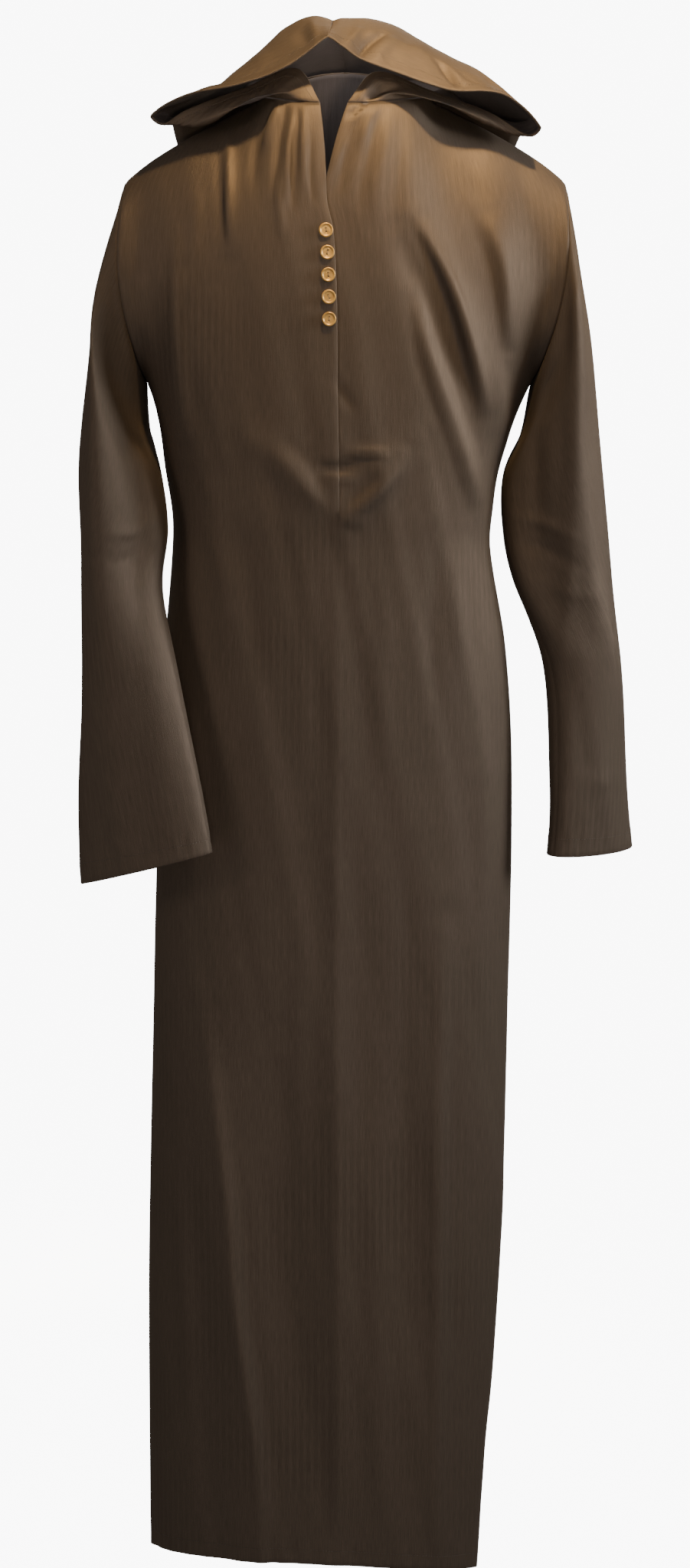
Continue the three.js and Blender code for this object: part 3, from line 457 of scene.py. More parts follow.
FRONT_HALF_COLUMNS = 70
BACK_HALF_COLUMNS = 52
UPPER_ROWS = 70
LOWER_ROWS = {FRONT: 240, BACK: 190}
SLEEVE_ROWS = 170
SLEEVE_AROUND = 112
HOOD_PLACES = 84
HOOD_FRONT_PLACES = 30
HOOD_FRONT_SHARE = 0.2
HOOD_LINE_STEPS = 14


# Curves and tables


def read(table, at):
    """Every column of a table after its first, smoothly read where the first column is at."""
    rows = np.array([np.hstack(row) for row in table], float)
    keys, values = rows[:, 0], rows[:, 1:]
    at = np.asarray(at, float)
    if keys[-1] < keys[0]:
        keys, at = -keys, -at
    last = len(keys) - 1
    i = np.clip(np.searchsorted(keys, at) - 1, 0, last - 1)
    before = np.maximum(np.arange(last + 1) - 1, 0)
    after = np.minimum(np.arange(last + 1) + 1, last)
    slopes = (values[after] - values[before]) / (keys[after] - keys[before])[:, None]
    span = keys[i + 1] - keys[i]
    t = np.clip((at - keys[i]) / span, 0, 1)[..., None]
    span = span[..., None]
    smooth = (2 * t**3 - 3 * t**2 + 1) * values[i] + (t**3 - 2 * t**2 + t) * slopes[i] * span
    smooth = smooth + (3 * t**2 - 2 * t**3) * values[i + 1] + (t**3 - t**2) * slopes[i + 1] * span
    return np.moveaxis(smooth, -1, 0)


def lerp(a, b, t):
    return a + (b - a) * t


def stacked(x, y, z):
    return np.stack(np.broadcast_arrays(x, y, z), axis=-1).astype(float)


def unit(vectors):
    return vectors / np.maximum(np.linalg.norm(vectors, axis=-1, keepdims=True), 1e-9)


def bell(distance, width):
    """1 at no distance, falling off smoothly to both sides."""
    return np.exp(-((distance / width) ** 2))


def rising(distance, width, start=0):
    """From start at no distance up to 1."""
    return np.clip(distance / width + start, 0, 1)


def run_lengths(grid, axis):
    """Distance along the grid's lines from their first points."""
    steps = np.linalg.norm(np.diff(grid, axis=axis), axis=-1)
    zero = np.zeros_like(np.take(steps, [0], axis=axis))
    return np.concatenate([zero, np.cumsum(steps, axis=axis)], axis=axis)


def read_line(points, at):
    """Places on a smooth line through points, at distances along it."""
    return read(np.column_stack([run_lengths(points, 0), points]), at).T


def smooth_path(points, steps):
    """A smooth line through points, evenly stepped along its length."""
    points = np.array(points, float)
    return read_line(points, np.linspace(0, run_lengths(points, 0)[-1], steps + 1))


# The body's surface, as in its solids


def level_point(share, z, face):
    left, centre, right, front, back = read(BODY, z)
    angle = share * math.pi / 2
    n = SECTION_ROUNDNESS
    radius = (np.abs(np.sin(angle)) ** n + np.abs(np.cos(angle)) ** n) ** (-1 / n)
    middle = (left + right) / 2
    to_centre = (centre - middle) * (1 - share**2)
    depth = front if face == FRONT else back
    x = middle + to_centre + (right - left) / 2 * radius * np.sin(angle)
    return stacked(x, face * depth * radius * np.cos(angle), z)


def top_edge(share, face):
    side = np.where(np.asarray(share) < 0, LEFT, RIGHT)
    angle = np.minimum(np.abs(share) / NECK_SHARE, 1) * math.pi / 2
    neck = stacked(
        lerp(NECK_MIDDLE if face == FRONT else 0, side * NECK_HALF_WIDTH, np.sin(angle)),
        face * NECK_DEPTH[face] * np.cos(angle),
        lerp(NECK_HEIGHT[face], NECK_SIDE_HEIGHT, np.sin(angle) ** 2),
    )
    along = np.clip((np.abs(share) - NECK_SHARE) / (1 - NECK_SHARE), 0, 1)
    drop = SHOULDER_DROP * along + SHOULDER_ROUNDING * along**SHOULDER_ROUNDING_POWER
    reach = lerp(side * NECK_HALF_WIDTH, side * SHOULDER_REACH, along)
    seam = stacked(reach, 0, NECK_SIDE_HEIGHT - drop)
    return np.where((np.abs(share) <= NECK_SHARE)[..., None], neck, seam)


def armpit(side):
    point = level_point(side, np.full(np.shape(side), ARMPIT_HEIGHT, float), FRONT)
    point[..., 1] = 0
    return point


def armhole_point(side, angle, face):
    point = lerp(top_edge(side, FRONT), armpit(side), ((1 - np.cos(angle)) / 2)[..., None])
    point[..., 0] += side * ARMHOLE_BOW * np.sin(angle) ** 2
    point[..., 1] += face * ARMHOLE_DEPTH * np.sin(angle)
    return point


def upper_point(share, down, face):
    side = np.where(share < 0, -1.0, 1.0)
    size = np.abs(share)
    angle = down * math.pi
    ease = (1 - np.cos(angle)) / 2
    along = lerp(down, ease, size**LEVEL_POWER)
    level = np.full(np.shape(share), ARMPIT_HEIGHT, float)
    point = lerp(top_edge(share, face), level_point(share, level, face), along[..., None])
    straight = lerp(top_edge(side, face), level_point(side, level, face), ease[..., None])
    curve = armhole_point(side, angle, face) - straight
    point = point + curve * (size**ARMHOLE_POWER)[..., None]
    bulge = CHEST_BULGE[face] + SHOULDER_BULGE * np.sin(math.pi * size**BULGE_ACROSS_POWER)
    stand = np.sin(math.pi * down**BULGE_DOWN_POWER) * (1 - size**BULGE_FADE_POWER)
    point[..., 1] += face * bulge * stand
    return point


def lower_point(share, down, face):
    hem = HEM_HEIGHT + HEM_TILT * share + HEM_LIFT[face] * (1 - share**2)
    return level_point(share, lerp(ARMPIT_HEIGHT, hem, down), face)


# Creases


def path_distance(places, path):
    """Each place's distance from a line, and how far along the line, from 0 to 1, that is."""
    best = np.full(places.shape[:-1], 1e9)
    along = np.zeros(places.shape[:-1])
    count = len(path) - 1
    for i in range(count):
        step = path[i + 1] - path[i]
        t = np.clip(((places - path[i]) @ step) / (step @ step), 0, 1)
        gap = np.linalg.norm(places - path[i] - t[..., None] * step, axis=-1)
        closer = gap < best
        best = np.where(closer, gap, best)
        along = np.where(closer, (i + t) / count, along)
    return best, along


def crease_height(places, creases):
    """How far creases move the cloth at places: most on their lines, fading off at the ends."""
    height = np.zeros(places.shape[:-1])
    for points, width, depth in creases:
        path = smooth_path(points, CREASE_STEPS)
        reach = CREASE_REACH * width
        near = np.all((places > path.min(0) - reach) & (places < path.max(0) + reach), axis=-1)
        if not near.any():
            continue
        gap, along = path_distance(places[near], path)
        along = np.clip(along, CREASE_END, 1 - CREASE_END)
        fade = np.sin(math.pi * along) ** CREASE_END_POWER
        height[near] += depth * bell(gap, width) * fade
    return height


def fold_creases(folds):
    """The large folds as creases, each along a line bent towards its middle point."""
    creases = []
    for start, via, end, width, depth in folds:
        t = np.linspace(0, 1, FOLD_STEPS)[:, None]
        line = (1 - t) ** 2 * np.array(start) + 2 * t * (1 - t) * np.array(via) + t**2 * np.array(end)
        creases.append((line, width, depth))
    return creases


def unevenness(grid, seed, depth_share=1):
    """Slow, shallow waves of hanging cloth: long downwards and short across."""
    draw = np.random.default_rng(seed)
    x, y, z = grid[..., 0], grid[..., 1] * depth_share, grid[..., 2]
    height = np.zeros(x.shape)
    for wavelength, size in WAVES:
        for _ in range(WAVES_EACH):
            turn = draw.uniform(-WAVE_TURN, WAVE_TURN)
            phase = draw.uniform(0, WAVE_ROUND)
            lean = draw.uniform(*WAVE_LEAN)
            across = x * math.cos(turn) + y * math.sin(turn)
            run = across + z / lean * WAVE_SLOPE
            height += size * np.sin(WAVE_ROUND * run / wavelength + phase) / 2
    return height


def hem_pucker(run, from_edge, size, turn, middle, width):
    """Small waves that the stitching draws into a hem."""
    return size * np.sin(run * turn) * bell(from_edge - middle, width)


# Grids


def grid_normals(grid, around=False):
    """The way each point of a grid faces, from its neighbours. Rows run down, columns across."""
    down = np.gradient(grid, axis=0)
    if around:
        across = np.roll(grid, -1, axis=1) - np.roll(grid, 1, axis=1)
    else:
        across = np.gradient(grid, axis=1)
    return unit(np.cross(down, across))


def relaxed(grid, weight, rounds):
    """Evens out a grid where the weight says, with its edges held."""
    for _ in range(rounds):
        mean = (grid[:-2, 1:-1] + grid[2:, 1:-1] + grid[1:-1, :-2] + grid[1:-1, 2:]) / 4
        grid[1:-1, 1:-1] = lerp(grid[1:-1, 1:-1], mean, weight[1:-1, 1:-1, None])
    return grid


class Sheet:
    """Cloth under construction: points in millimetres, quads, and cloth coordinates."""

    def __init__(self):
        self.points, self.quads, self.cloth = [], [], []

    def add_points(self, grid, across, along):
        """Adds a grid of points and returns their numbers."""
        first = len(self.points)
        self.points.extend(grid.reshape(-1, 3))
        cloth = np.stack(np.broadcast_arrays(across, along), axis=-1).reshape(-1, 2)
        self.cloth.extend(cloth)
        return np.arange(first, first + grid[..., 0].size).reshape(grid.shape[:2])

    def add_quads(self, numbers, flip=False, around=False):
        if around:
            numbers = np.concatenate([numbers, numbers[:, :1]], axis=1)
        a, b = numbers[:-1, :-1], numbers[1:, :-1]
        c, d = numbers[1:, 1:], numbers[:-1, 1:]
        order = (a, d, c, b) if flip else (a, b, c, d)
        self.quads.extend(np.stack(order, axis=-1).reshape(-1, 4))

    def build(self, name):
        """Makes the closed, thin mesh of the cloth, with a finish on each side: the cloth's own on the
        outer side, and on the inner side a darker, greyer copy of it as painted shade for the garment's
        inside.
        """
        points = np.array(self.points) * MM
        piece = new_object(name, points, [list(map(int, quad)) for quad in self.quads])
        for finish in ("cloth", "inside_painted_shade"):
            piece.data.materials.append(materials[finish])
        layer = piece.data.uv_layers.new(name="cloth")
        corners = np.array(self.quads).reshape(-1)
        layer.data.foreach_set("uv", (np.array(self.cloth)[corners] * MM).astype(float).ravel())
        wall = piece.modifiers.new("wall", "SOLIDIFY")
        wall.thickness = CLOTH * MM
        wall.material_offset = 1
        wall.offset = 0
        wall.use_even_offset = False
        apply_modifiers(piece)
        return piece


def linked(name, data):
    """A new object in the scene."""
    made = bpy.data.objects.new(name, data)
    bpy.context.scene.collection.objects.link(made)
    return made


def new_object(name, points, faces):
    """A smooth mesh from points in metres."""
    mesh = bpy.data.meshes.new(name)
    mesh.from_pydata([tuple(p) for p in points], [], faces)
    mesh.polygons.foreach_set("use_smooth", [True] * len(mesh.polygons))
    mesh.update()
    return linked(name, mesh)


def apply_modifiers(piece):
    graph = bpy.context.evaluated_depsgraph_get()
    mesh = bpy.data.meshes.new_from_object(piece.evaluated_get(graph), depsgraph=graph)
    piece.modifiers.clear()
    piece.data = mesh


def seam_tuck(distance):
    """How far cloth dips into a seam at a distance from it."""
    return SEAM_TUCK * np.exp(-((distance / SEAM_TUCK_WIDTH) ** 2) * 2)


def rolled_hem(edge_rows, normals, direction):
    """Rows that turn a hem to the inside: round its edge, then back along the cloth's rows."""
    rows = []
    for turn in HEM_TURNS:
        angle = math.radians(turn)
        inward = -normals[-1] * HEM_ROLL * (1 - math.cos(angle))
        rows.append(edge_rows[-1] + inward + direction * HEM_ROLL * math.sin(angle))
    for k in range(1, HEM_STEPS + 1):
        rows.append(edge_rows[-k] - normals[-k] * 2 * HEM_ROLL)
    return np.array(rows)


def add_hem(sheet, grid, normals, numbers, across, along, direction=(0, 0, -1), **way):
    """Turns the last row of a grid to the inside. The numbers are that row's."""
    last = slice(-HEM_STEPS - 1, None)
    hem = rolled_hem(grid[last], normals[last], np.array(direction))
    steps = np.arange(1, len(hem) + 1)[:, None] * HEM_CLOTH_STEP
    hem_numbers = sheet.add_points(hem, across, along + steps)
    sheet.add_quads(np.vstack([numbers, hem_numbers]), **way)


# Body panels


def body_grid(face, half_columns):
    """The fine grid of a body panel without its slit, and its shares of the way across."""
    half = np.linspace(0, 1, half_columns + 1)
    shares = np.concatenate([-half[:0:-1], half])
    upper_down = np.linspace(0, 1, UPPER_ROWS + 1)
    lower_down = np.linspace(0, 1, LOWER_ROWS[face] + 1)[1:]
    share, down = np.meshgrid(shares, upper_down)
    upper = upper_point(share, down, face)
    share, down = np.meshgrid(shares, lower_down)
    grid = np.concatenate([upper, lower_point(share, down, face)])
    size = np.abs(shares)[None, :]
    height = grid[..., 2]
    at_armpits = bell(height - ARMPIT_HEIGHT, ARMPIT_EASE)
    at_corner = bell(size - NECK_SHARE, CORNER_EASE) * (height > ARMPIT_HEIGHT - CORNER_EASE_END)
    weight = np.clip(np.maximum(at_armpits, at_corner), 0, 1)
    return relaxed(grid, weight, EASE_ROUNDS), shares


def body_cloth(grid, centre):
    """Cloth coordinates of a body panel: across from its centre line and down from its top."""
    run = run_lengths(grid, 1)
    across = run - run[:, centre:centre + 1]
    along = run_lengths(grid, 0)[:, centre:centre + 1] * np.ones_like(across)
    return across, along


def facing(grid, face):
    """The grid's normals, turned to the garment's outside."""
    normals = grid_normals(grid)
    return normals * np.sign(np.sum(normals[..., 1]) * face)


def creased_body(face, half_columns):
    """A body panel's grid with its folds, creases and seams, and its cloth coordinates."""
    grid, shares = body_grid(face, half_columns)
    size = np.abs(shares)[None, :]
    across, along = body_cloth(grid, half_columns)
    from_hem = along[-1:] - along
    places = grid[..., [0, 2]]
    inside = (1 - size**FOLD_SIDE_POWER) * rising(along, FOLD_TOP_FADE)
    grid[..., 1] += face * crease_height(places, fold_creases(FOLDS[face])) * inside
    normals = facing(grid, face)
    edge = np.minimum(across - across[:, :1], across[:, -1:] - across)
    fine = crease_height(places, CREASES[face]) * rising(edge, CREASE_SIDE_FADE)
    fine = fine * np.clip(along / CREASE_TOP_FADE, CREASE_TOP_SHARE, 1)
    waves = unevenness(grid, 3 + face)
    fine = fine + waves * rising(edge, WAVE_SIDE_FADE) * rising(along, FOLD_TOP_FADE)
    pucker = hem_pucker(across, from_hem, *BODY_PUCKER)
    at_hem = np.clip(1 - from_hem / HEM_FADE, 0, 1)
    grid = grid + normals * (fine + pucker * at_hem)[..., None]
    on_shoulder = np.where(size >= NECK_SHARE, seam_tuck(along), 0)
    grid = grid - normals * np.maximum(seam_tuck(edge), on_shoulder)[..., None]
    return grid, shares, across, along


def open_slit(grid, shares, edge):
    """Moves front points for the slit's swing and opening."""
    near = np.clip(1 - np.abs(shares) / SLIT_SPREAD, 0, 1)[None, :] ** 2
    z = grid[..., 2]
    shift = read(SLIT_SWING, z)[0]
    rise = np.clip((z - SLIT_FOOT) / (NECK_HEIGHT[FRONT] - SLIT_FOOT), 0, SLIT_WIDEST_RISE)
    fade = rising(z - PLACKET_END, SLIT_END_FADE)
    opening = np.maximum(SLIT_OPEN_HALF * rise**SLIT_OPEN_POWER, SLIT_CLOSED_HALF) * fade
    grid = grid.copy()
    grid[..., 0] += (shift + edge * opening) * near
    return grid


def lap(grid, across, edge):
    """Lifts the left edge of the placket over the right one, and sinks the right one a little."""
    z = grid[..., 2]
    closed = rising(z - PLACKET_END, LAP_FOOT_FADE) * rising(SLIT_FOOT + LAP_ABOVE - z, LAP_TOP_FADE)
    lift = LAP_LIFT if edge == LEFT else -LAP_SINK * LAP_LIFT
    grid[..., 1] -= lift * bell(across, LAP_WIDTH) * closed
    if edge == RIGHT:
        grid[..., 0] -= LAP_UNDER * bell(across, LAP_UNDER_WIDTH) * closed
    return grid


def make_front():
    """The front, slit down its centre to the placket's end, with its hem turned up."""
    grid, shares, across, along = creased_body(FRONT, FRONT_HALF_COLUMNS)
    c = FRONT_HALF_COLUMNS
    slit_rows = int(np.sum(grid[:, c, 2] > PLACKET_END))
    sheet = Sheet()
    parts = []
    for edge, half in ((LEFT, slice(None, c + 1)), (RIGHT, slice(c, None))):
        part = lap(open_slit(grid[:, half], shares[half], edge), across[:, half], edge)
        parts.append((part, sheet.add_points(part, across[:, half], along[:, half])))
    (left, left_numbers), (right, right_numbers) = parts
    right_numbers[slit_rows:, 0] = left_numbers[slit_rows:, -1]
    sheet.add_quads(left_numbers)
    sheet.add_quads(right_numbers)
    whole = np.concatenate([left, right[:, 1:]], axis=1)
    normals = facing(whole, FRONT)
    edge_numbers = np.concatenate([left_numbers[-1], right_numbers[-1, 1:]])
    add_hem(sheet, whole, normals, edge_numbers, across[-1:], along[-1, c])
    add_slit_facing(sheet, left_numbers, left, RIGHT, slit_rows)
    add_slit_facing(sheet, right_numbers, right, LEFT, slit_rows)
    return sheet.build("front_cloth"), whole, normals


def add_slit_facing(sheet, numbers, part, way, slit_rows):
    """Turns the slit's edge, which lies towards way, to the inside round a small roll."""
    rows = slice(None, slit_rows + 1)
    column = -1 if way == RIGHT else 0
    normals = facing(part, FRONT)[rows]
    outward = np.array([way, 0, 0])
    columns = []
    for turn in SLIT_TURNS:
        angle = math.radians(turn)
        inward = -normals[:, column] * SLIT_ROLL_DEPTH * (1 - math.cos(angle))
        columns.append(part[rows, column] + inward + outward * SLIT_ROLL * math.sin(angle))
    for step in range(SLIT_FACING_STEPS):
        k = column - way * step
        columns.append(part[rows, k] - normals[:, k] * SLIT_FACING_BEHIND)
    grid = np.stack(columns, axis=1)
    across = np.arange(1, len(columns) + 1)[None, :] * SLIT_CLOTH_STEP
    face_numbers = sheet.add_points(grid, across, run_lengths(grid, 0))
    joined = np.concatenate([numbers[rows, column][:, None], face_numbers], axis=1)
    sheet.add_quads(joined, flip=way == LEFT)


def make_back():
    grid, shares, across, along = creased_body(BACK, BACK_HALF_COLUMNS)
    normals = facing(grid, BACK)
    sheet = Sheet()
    numbers = sheet.add_points(grid, across, along)
    sheet.add_quads(numbers, flip=True)
    add_hem(sheet, grid, normals, numbers[-1], across[-1:], along[-1, 0], flip=True)
    return sheet.build("back_cloth"), grid, normals


def make_underlap(front_grid, normals):
    """The strip behind the closed slit, made from the front's own points."""
    c, half = FRONT_HALF_COLUMNS, UNDERLAP_HALF_COLUMNS
    z = front_grid[:, c, 2]
    rows = np.flatnonzero((z < SLIT_FOOT) & (z > PLACKET_END - UNDERLAP_BELOW))
    chosen = np.ix_(rows, np.arange(c - half, c + half + 1))
    part = front_grid[chosen] - normals[chosen] * UNDERLAP_BEHIND
    sheet = Sheet()
    sheet.add_quads(sheet.add_points(part, run_lengths(part, 1), run_lengths(part, 0)))
    return sheet.build("underlap_cloth")


# Sleeves


def sleeve_fold(at, degrees, side):
    height = np.zeros(np.shape(at))
    for angle, start, end, width, depth in SLEEVE_FOLDS:
        along = np.clip((at - start) / (end - start), 0, 1)
        raised = bell(degrees - angle, width) * np.sin(math.pi * along)
        height = height + SLEEVE_FOLD_SHARE[side] * depth * raised
    return height * np.clip(at / SLEEVE_FOLD_FADE, 0, 1)


def sleeve_point(side, at, angle):
    top, bottom = top_edge(np.float64(side), FRONT), armpit(np.float64(side))
    rings = [(0, tuple(top), tuple(bottom), ARMHOLE_DEPTH, ARMHOLE_BOW)] + SLEEVES[side]
    columns = read(rings, at)
    outer, inner = np.moveaxis(columns[0:3], 0, -1), np.moveaxis(columns[3:6], 0, -1)
    depth, bow = columns[6], columns[7]
    reach = outer - inner
    forward = unit(side * stacked(reach[..., 1], -reach[..., 0], 0))
    raised = sleeve_fold(at, np.degrees(angle), side)
    point = lerp(inner, outer, ((1 + np.cos(angle)) / 2)[..., None])
    point = point + forward * ((depth + raised) * np.sin(angle))[..., None]
    point = point + unit(reach) * (raised * np.cos(angle))[..., None]
    point[..., 0] += side * bow * np.sin(angle) ** 2
    return point


def make_sleeve(side, name):
    """One sleeve from its armhole to its turned-up cuff."""
    shares = np.linspace(0, 1, SLEEVE_ROWS + 1)
    angles = math.pi - np.arange(SLEEVE_AROUND) * 2 * math.pi / SLEEVE_AROUND
    angle, at = np.meshgrid(angles, shares)
    grid = sleeve_point(side, at, angle)
    normals = sleeve_normals(grid)
    along = run_lengths(grid, 0)
    from_end = along[-1:] - along
    closed = run_lengths(np.concatenate([grid, grid[:, :1]], axis=1), 1)
    across, girth = closed[:, :-1], closed[:, -1:]
    forward = np.clip(np.sin(angle) * 2 + 0.5, 0, 1)
    places = grid[..., [0, 2]]
    height = crease_height(places, SLEEVE_CREASES[side, FRONT]) * forward
    height = height + crease_height(places, SLEEVE_CREASES[side, BACK]) * (1 - forward)
    height = height + unevenness(grid, 11 + side)
    height = height * rising(along, CREASE_SIDE_FADE) * rising(from_end, CUFF_FADE, CUFF_SHARE)
    height = height + hem_pucker(across, from_end, *CUFF_PUCKER) - seam_tuck(along)
    from_seam = np.abs(np.angle(np.exp(1j * (angle - math.pi)))) * girth / (2 * math.pi)
    height = height - seam_tuck(from_seam) * UNDERARM_TUCK
    grid = grid + normals * height[..., None]
    normals = sleeve_normals(grid)
    sheet = Sheet()
    way = {"flip": side == LEFT, "around": True}
    numbers = sheet.add_points(grid, across, along)
    sheet.add_quads(numbers, **way)
    down = unit(grid[-1] - grid[-2])
    add_hem(sheet, grid, normals, numbers[-1], across[-1:], along[-1:], down, **way)
    return sheet.build(name), grid, normals


def sleeve_normals(grid):
    """Sleeve normals, turned away from the middle of each ring."""
    normals = grid_normals(grid, around=True)
    outward = grid - grid.mean(axis=1, keepdims=True)
    return normals * np.sign(np.sum(normals * outward))


# Hood


def neckline_point(side, at):
    """A point just above the neckline, by its share of the way from the slit to the centre back."""
    face = FRONT if at < 0.5 else BACK
    share = np.array([side * NECK_SHARE * (at * 2 if at < 0.5 else (1 - at) * 2)])
    shares = np.concatenate([share, share, share + 0.01 * side])
    downs = np.array([0, 0.05, 0])
    points = upper_point(shares, downs, face)
    if face == FRONT:
        opened = [open_slit(p[None, None], s[None], side)[0, 0] for p, s in zip(points, shares)]
        points = np.stack(opened)
    normal = unit(np.cross(points[2] - points[0], points[1] - points[0]))
    if normal[2] < 0:
        normal = -normal
    return points[0] + normal * HOOD_SEAM_LIFT


def hood_crease_lines(side, grid, places):
    """The hood's creases with their lines in space, from their places on the hood."""
    rows, columns = np.arange(len(places)), np.arange(grid.shape[1])
    for points, width, depth in HOOD_CREASES[side]:
        line = []
        for at, station in points:
            row = np.interp(at, places, rows)
            after = grid[min(int(row) + 1, len(places) - 1)]
            section = lerp(grid[int(row)], after, row - int(row))
            step = station * HOOD_LINE_STEPS
            line.append([np.interp(step, columns, section[:, k]) for k in range(3)])
        yield line, width, depth


def make_hood(side, name):
    """Half of the hood, from the neckline round over the shoulder to the centre seam."""
    front_places = np.linspace(0, HOOD_FRONT_SHARE, HOOD_FRONT_PLACES)[:-1]
    back_places = np.linspace(HOOD_FRONT_SHARE, 1, HOOD_PLACES - HOOD_FRONT_PLACES + 1)
    places = np.concatenate([front_places, back_places])
    lines = []
    for at in places:
        stations = read(HOODS[side], at).reshape(-1, 3)
        lines.append(station_line(np.vstack([neckline_point(side, at), stations])))
    grid = np.array(lines)
    grid[:, -1, 0] += side * HOOD_CENTRE_GAP
    grid[-1, :, 0] += side * HOOD_CENTRE_GAP
    normals = hood_normals(grid, side)
    to_seam = run_lengths(grid[:, ::-1], 1)[:, ::-1]
    from_neck = run_lengths(grid, 1)
    from_face = run_lengths(grid, 0)
    to_back = run_lengths(grid[::-1], 0)[::-1]
    height = crease_height(grid, hood_crease_lines(side, grid, places))
    height = height + HOOD_WAVE_SHARE * unevenness(grid, 21 + side, HOOD_WAVE_DEPTH)
    height = height * rising(from_neck, NECK_SEAM_FADE) * rising(to_seam, CENTRE_SEAM_FADE)
    height = height * rising(to_back, BACK_SEAM_FADE) * rising(from_face, FACE_FADE, FACE_SHARE)
    height = height - seam_tuck(to_seam) - seam_tuck(to_back) - seam_tuck(from_neck)
    height = height + hem_pucker(from_neck, from_face, *FACE_PUCKER)
    grid = grid + normals * height[..., None]
    normals = hood_normals(grid, side)
    sheet = Sheet()
    numbers = sheet.add_points(grid, from_face, from_neck)
    sheet.add_quads(numbers, flip=side == LEFT)
    hem = rolled_hem(grid[HEM_STEPS::-1], normals[HEM_STEPS::-1], unit(grid[0] - grid[1]))
    hem_across = -np.arange(1, len(hem) + 1)[:, None] * HOOD_HEM_CLOTH_STEP
    hem_numbers = sheet.add_points(hem, hem_across, from_neck[:1])
    sheet.add_quads(np.vstack([numbers[0], hem_numbers]), flip=side == RIGHT)
    return sheet.build(name), grid, normals


def station_line(points):
    """A smooth line through a hood section's points, with equal steps between each two."""
    lengths = run_lengths(points, 0)
    steps = np.arange(HOOD_LINE_STEPS) / HOOD_LINE_STEPS
    between = [lerp(a, b, steps) for a, b in zip(lengths[:-1], lengths[1:])]
    return read_line(points, np.concatenate(between + [lengths[-1:]]))


def hood_normals(grid, side):
    """The hood's normals, turned to its outside, which is up on its top."""
    normals = grid_normals(grid)
    top = normals[:, -3 * HOOD_LINE_STEPS:-HOOD_LINE_STEPS]
    return normals * np.sign(np.sum(top[..., 2]))


# Stitches


def make_stitches(name, path, normals, pitch=3.0, length=2.2, radius=0.2, lift=0.15):
    """A row of small raised thread loops along a path on the cloth, joined in one mesh."""
    run = run_lengths(path, 0)
    points, quads = [], []
    for start in np.arange(pitch, run[-1] - pitch, pitch):
        at = start + np.array([0, 0.3, 0.7, 1]) * length
        line = np.stack([np.interp(at, run, path[:, k]) for k in range(3)], axis=-1)
        up = unit(np.array([np.interp(start, run, normals[:, k]) for k in range(3)]))
        ahead = unit(line[-1] - line[0])
        beside = unit(np.cross(ahead, up))
        first = len(points)
        for point, height in zip(line, (-0.1, lift, lift, -0.1)):
            middle = point + up * (CLOTH / 2 + height)
            for turn in range(4):
                angle = turn * math.pi / 2
                ring = up * math.sin(angle) + beside * math.cos(angle)
                points.append((middle + ring * radius) * MM)
        for ring in range(3):
            for turn in range(4):
                a = first + ring * 4 + turn
                b = first + ring * 4 + (turn + 1) % 4
                quads.append((a, b, b + 4, a + 4))
        quads.append((first + 3, first + 2, first + 1, first))
        quads.append((first + 12, first + 13, first + 14, first + 15))
    return new_object(name, points, quads)


# Buttons

# Half section of a button: radius and height, from its back round the rim to the dished middle
BUTTON_PROFILE = [
    (0, 0), (5.6, 0), (6.2, 0.2), (6.65, 0.7), (6.8, 1.2), (6.75, 1.8), (6.5, 2.4), (6.1, 2.75),
    (5.7, 2.8), (5.3, 2.6), (4.95, 2.2), (4.6, 1.8), (4.2, 1.62), (3.6, 1.56), (2.4, 1.6),
    (1.2, 1.68), (0, 1.7),
]
BUTTON_SIDES = 56
BUTTON_HOLE_RADIUS = 0.85
BUTTON_HOLE_SPACING = 3.2
BUTTON_TURNS = [8, -12, 5, 24, -6]


def lathe(name, profile, sides):
    """A closed solid of revolution round Z, in metres."""
    points, faces = [(0, 0, profile[0][1] * MM)], []
    for radius, height in profile[1:-1]:
        for k in range(sides):
            angle = 2 * math.pi * k / sides
            points.append((radius * math.cos(angle) * MM, radius * math.sin(angle) * MM, height * MM))
    points.append((0, 0, profile[-1][1] * MM))
    last = len(points) - 1
    for k in range(sides):
        following = (k + 1) % sides
        faces.append((0, 1 + following, 1 + k))
        for ring in range(len(profile) - 3):
            a, b = 1 + ring * sides + k, 1 + ring * sides + following
            faces.append((a, b, b + sides, a + sides))
        top = 1 + (len(profile) - 3) * sides
        faces.append((top + k, top + following, last))
    return new_object(name, points, faces)


def cut_button():
    """One button at the origin, with its two holes cut."""
    button = lathe("button_form", BUTTON_PROFILE, BUTTON_SIDES)
    for side in (LEFT, RIGHT):
        pin_profile = [(0, -2), (BUTTON_HOLE_RADIUS, -2), (BUTTON_HOLE_RADIUS, 5), (0, 5)]
        pin = lathe("pin", pin_profile, 20)
        pin.location = (0, side * BUTTON_HOLE_SPACING / 2 * MM, 0)
        bpy.context.view_layer.update()
        cut = button.modifiers.new("hole", "BOOLEAN")
        cut.operation = "DIFFERENCE"
        cut.solver = "EXACT"
        cut.object = pin
        apply_modifiers(button)
        bpy.data.objects.remove(pin)
    return button


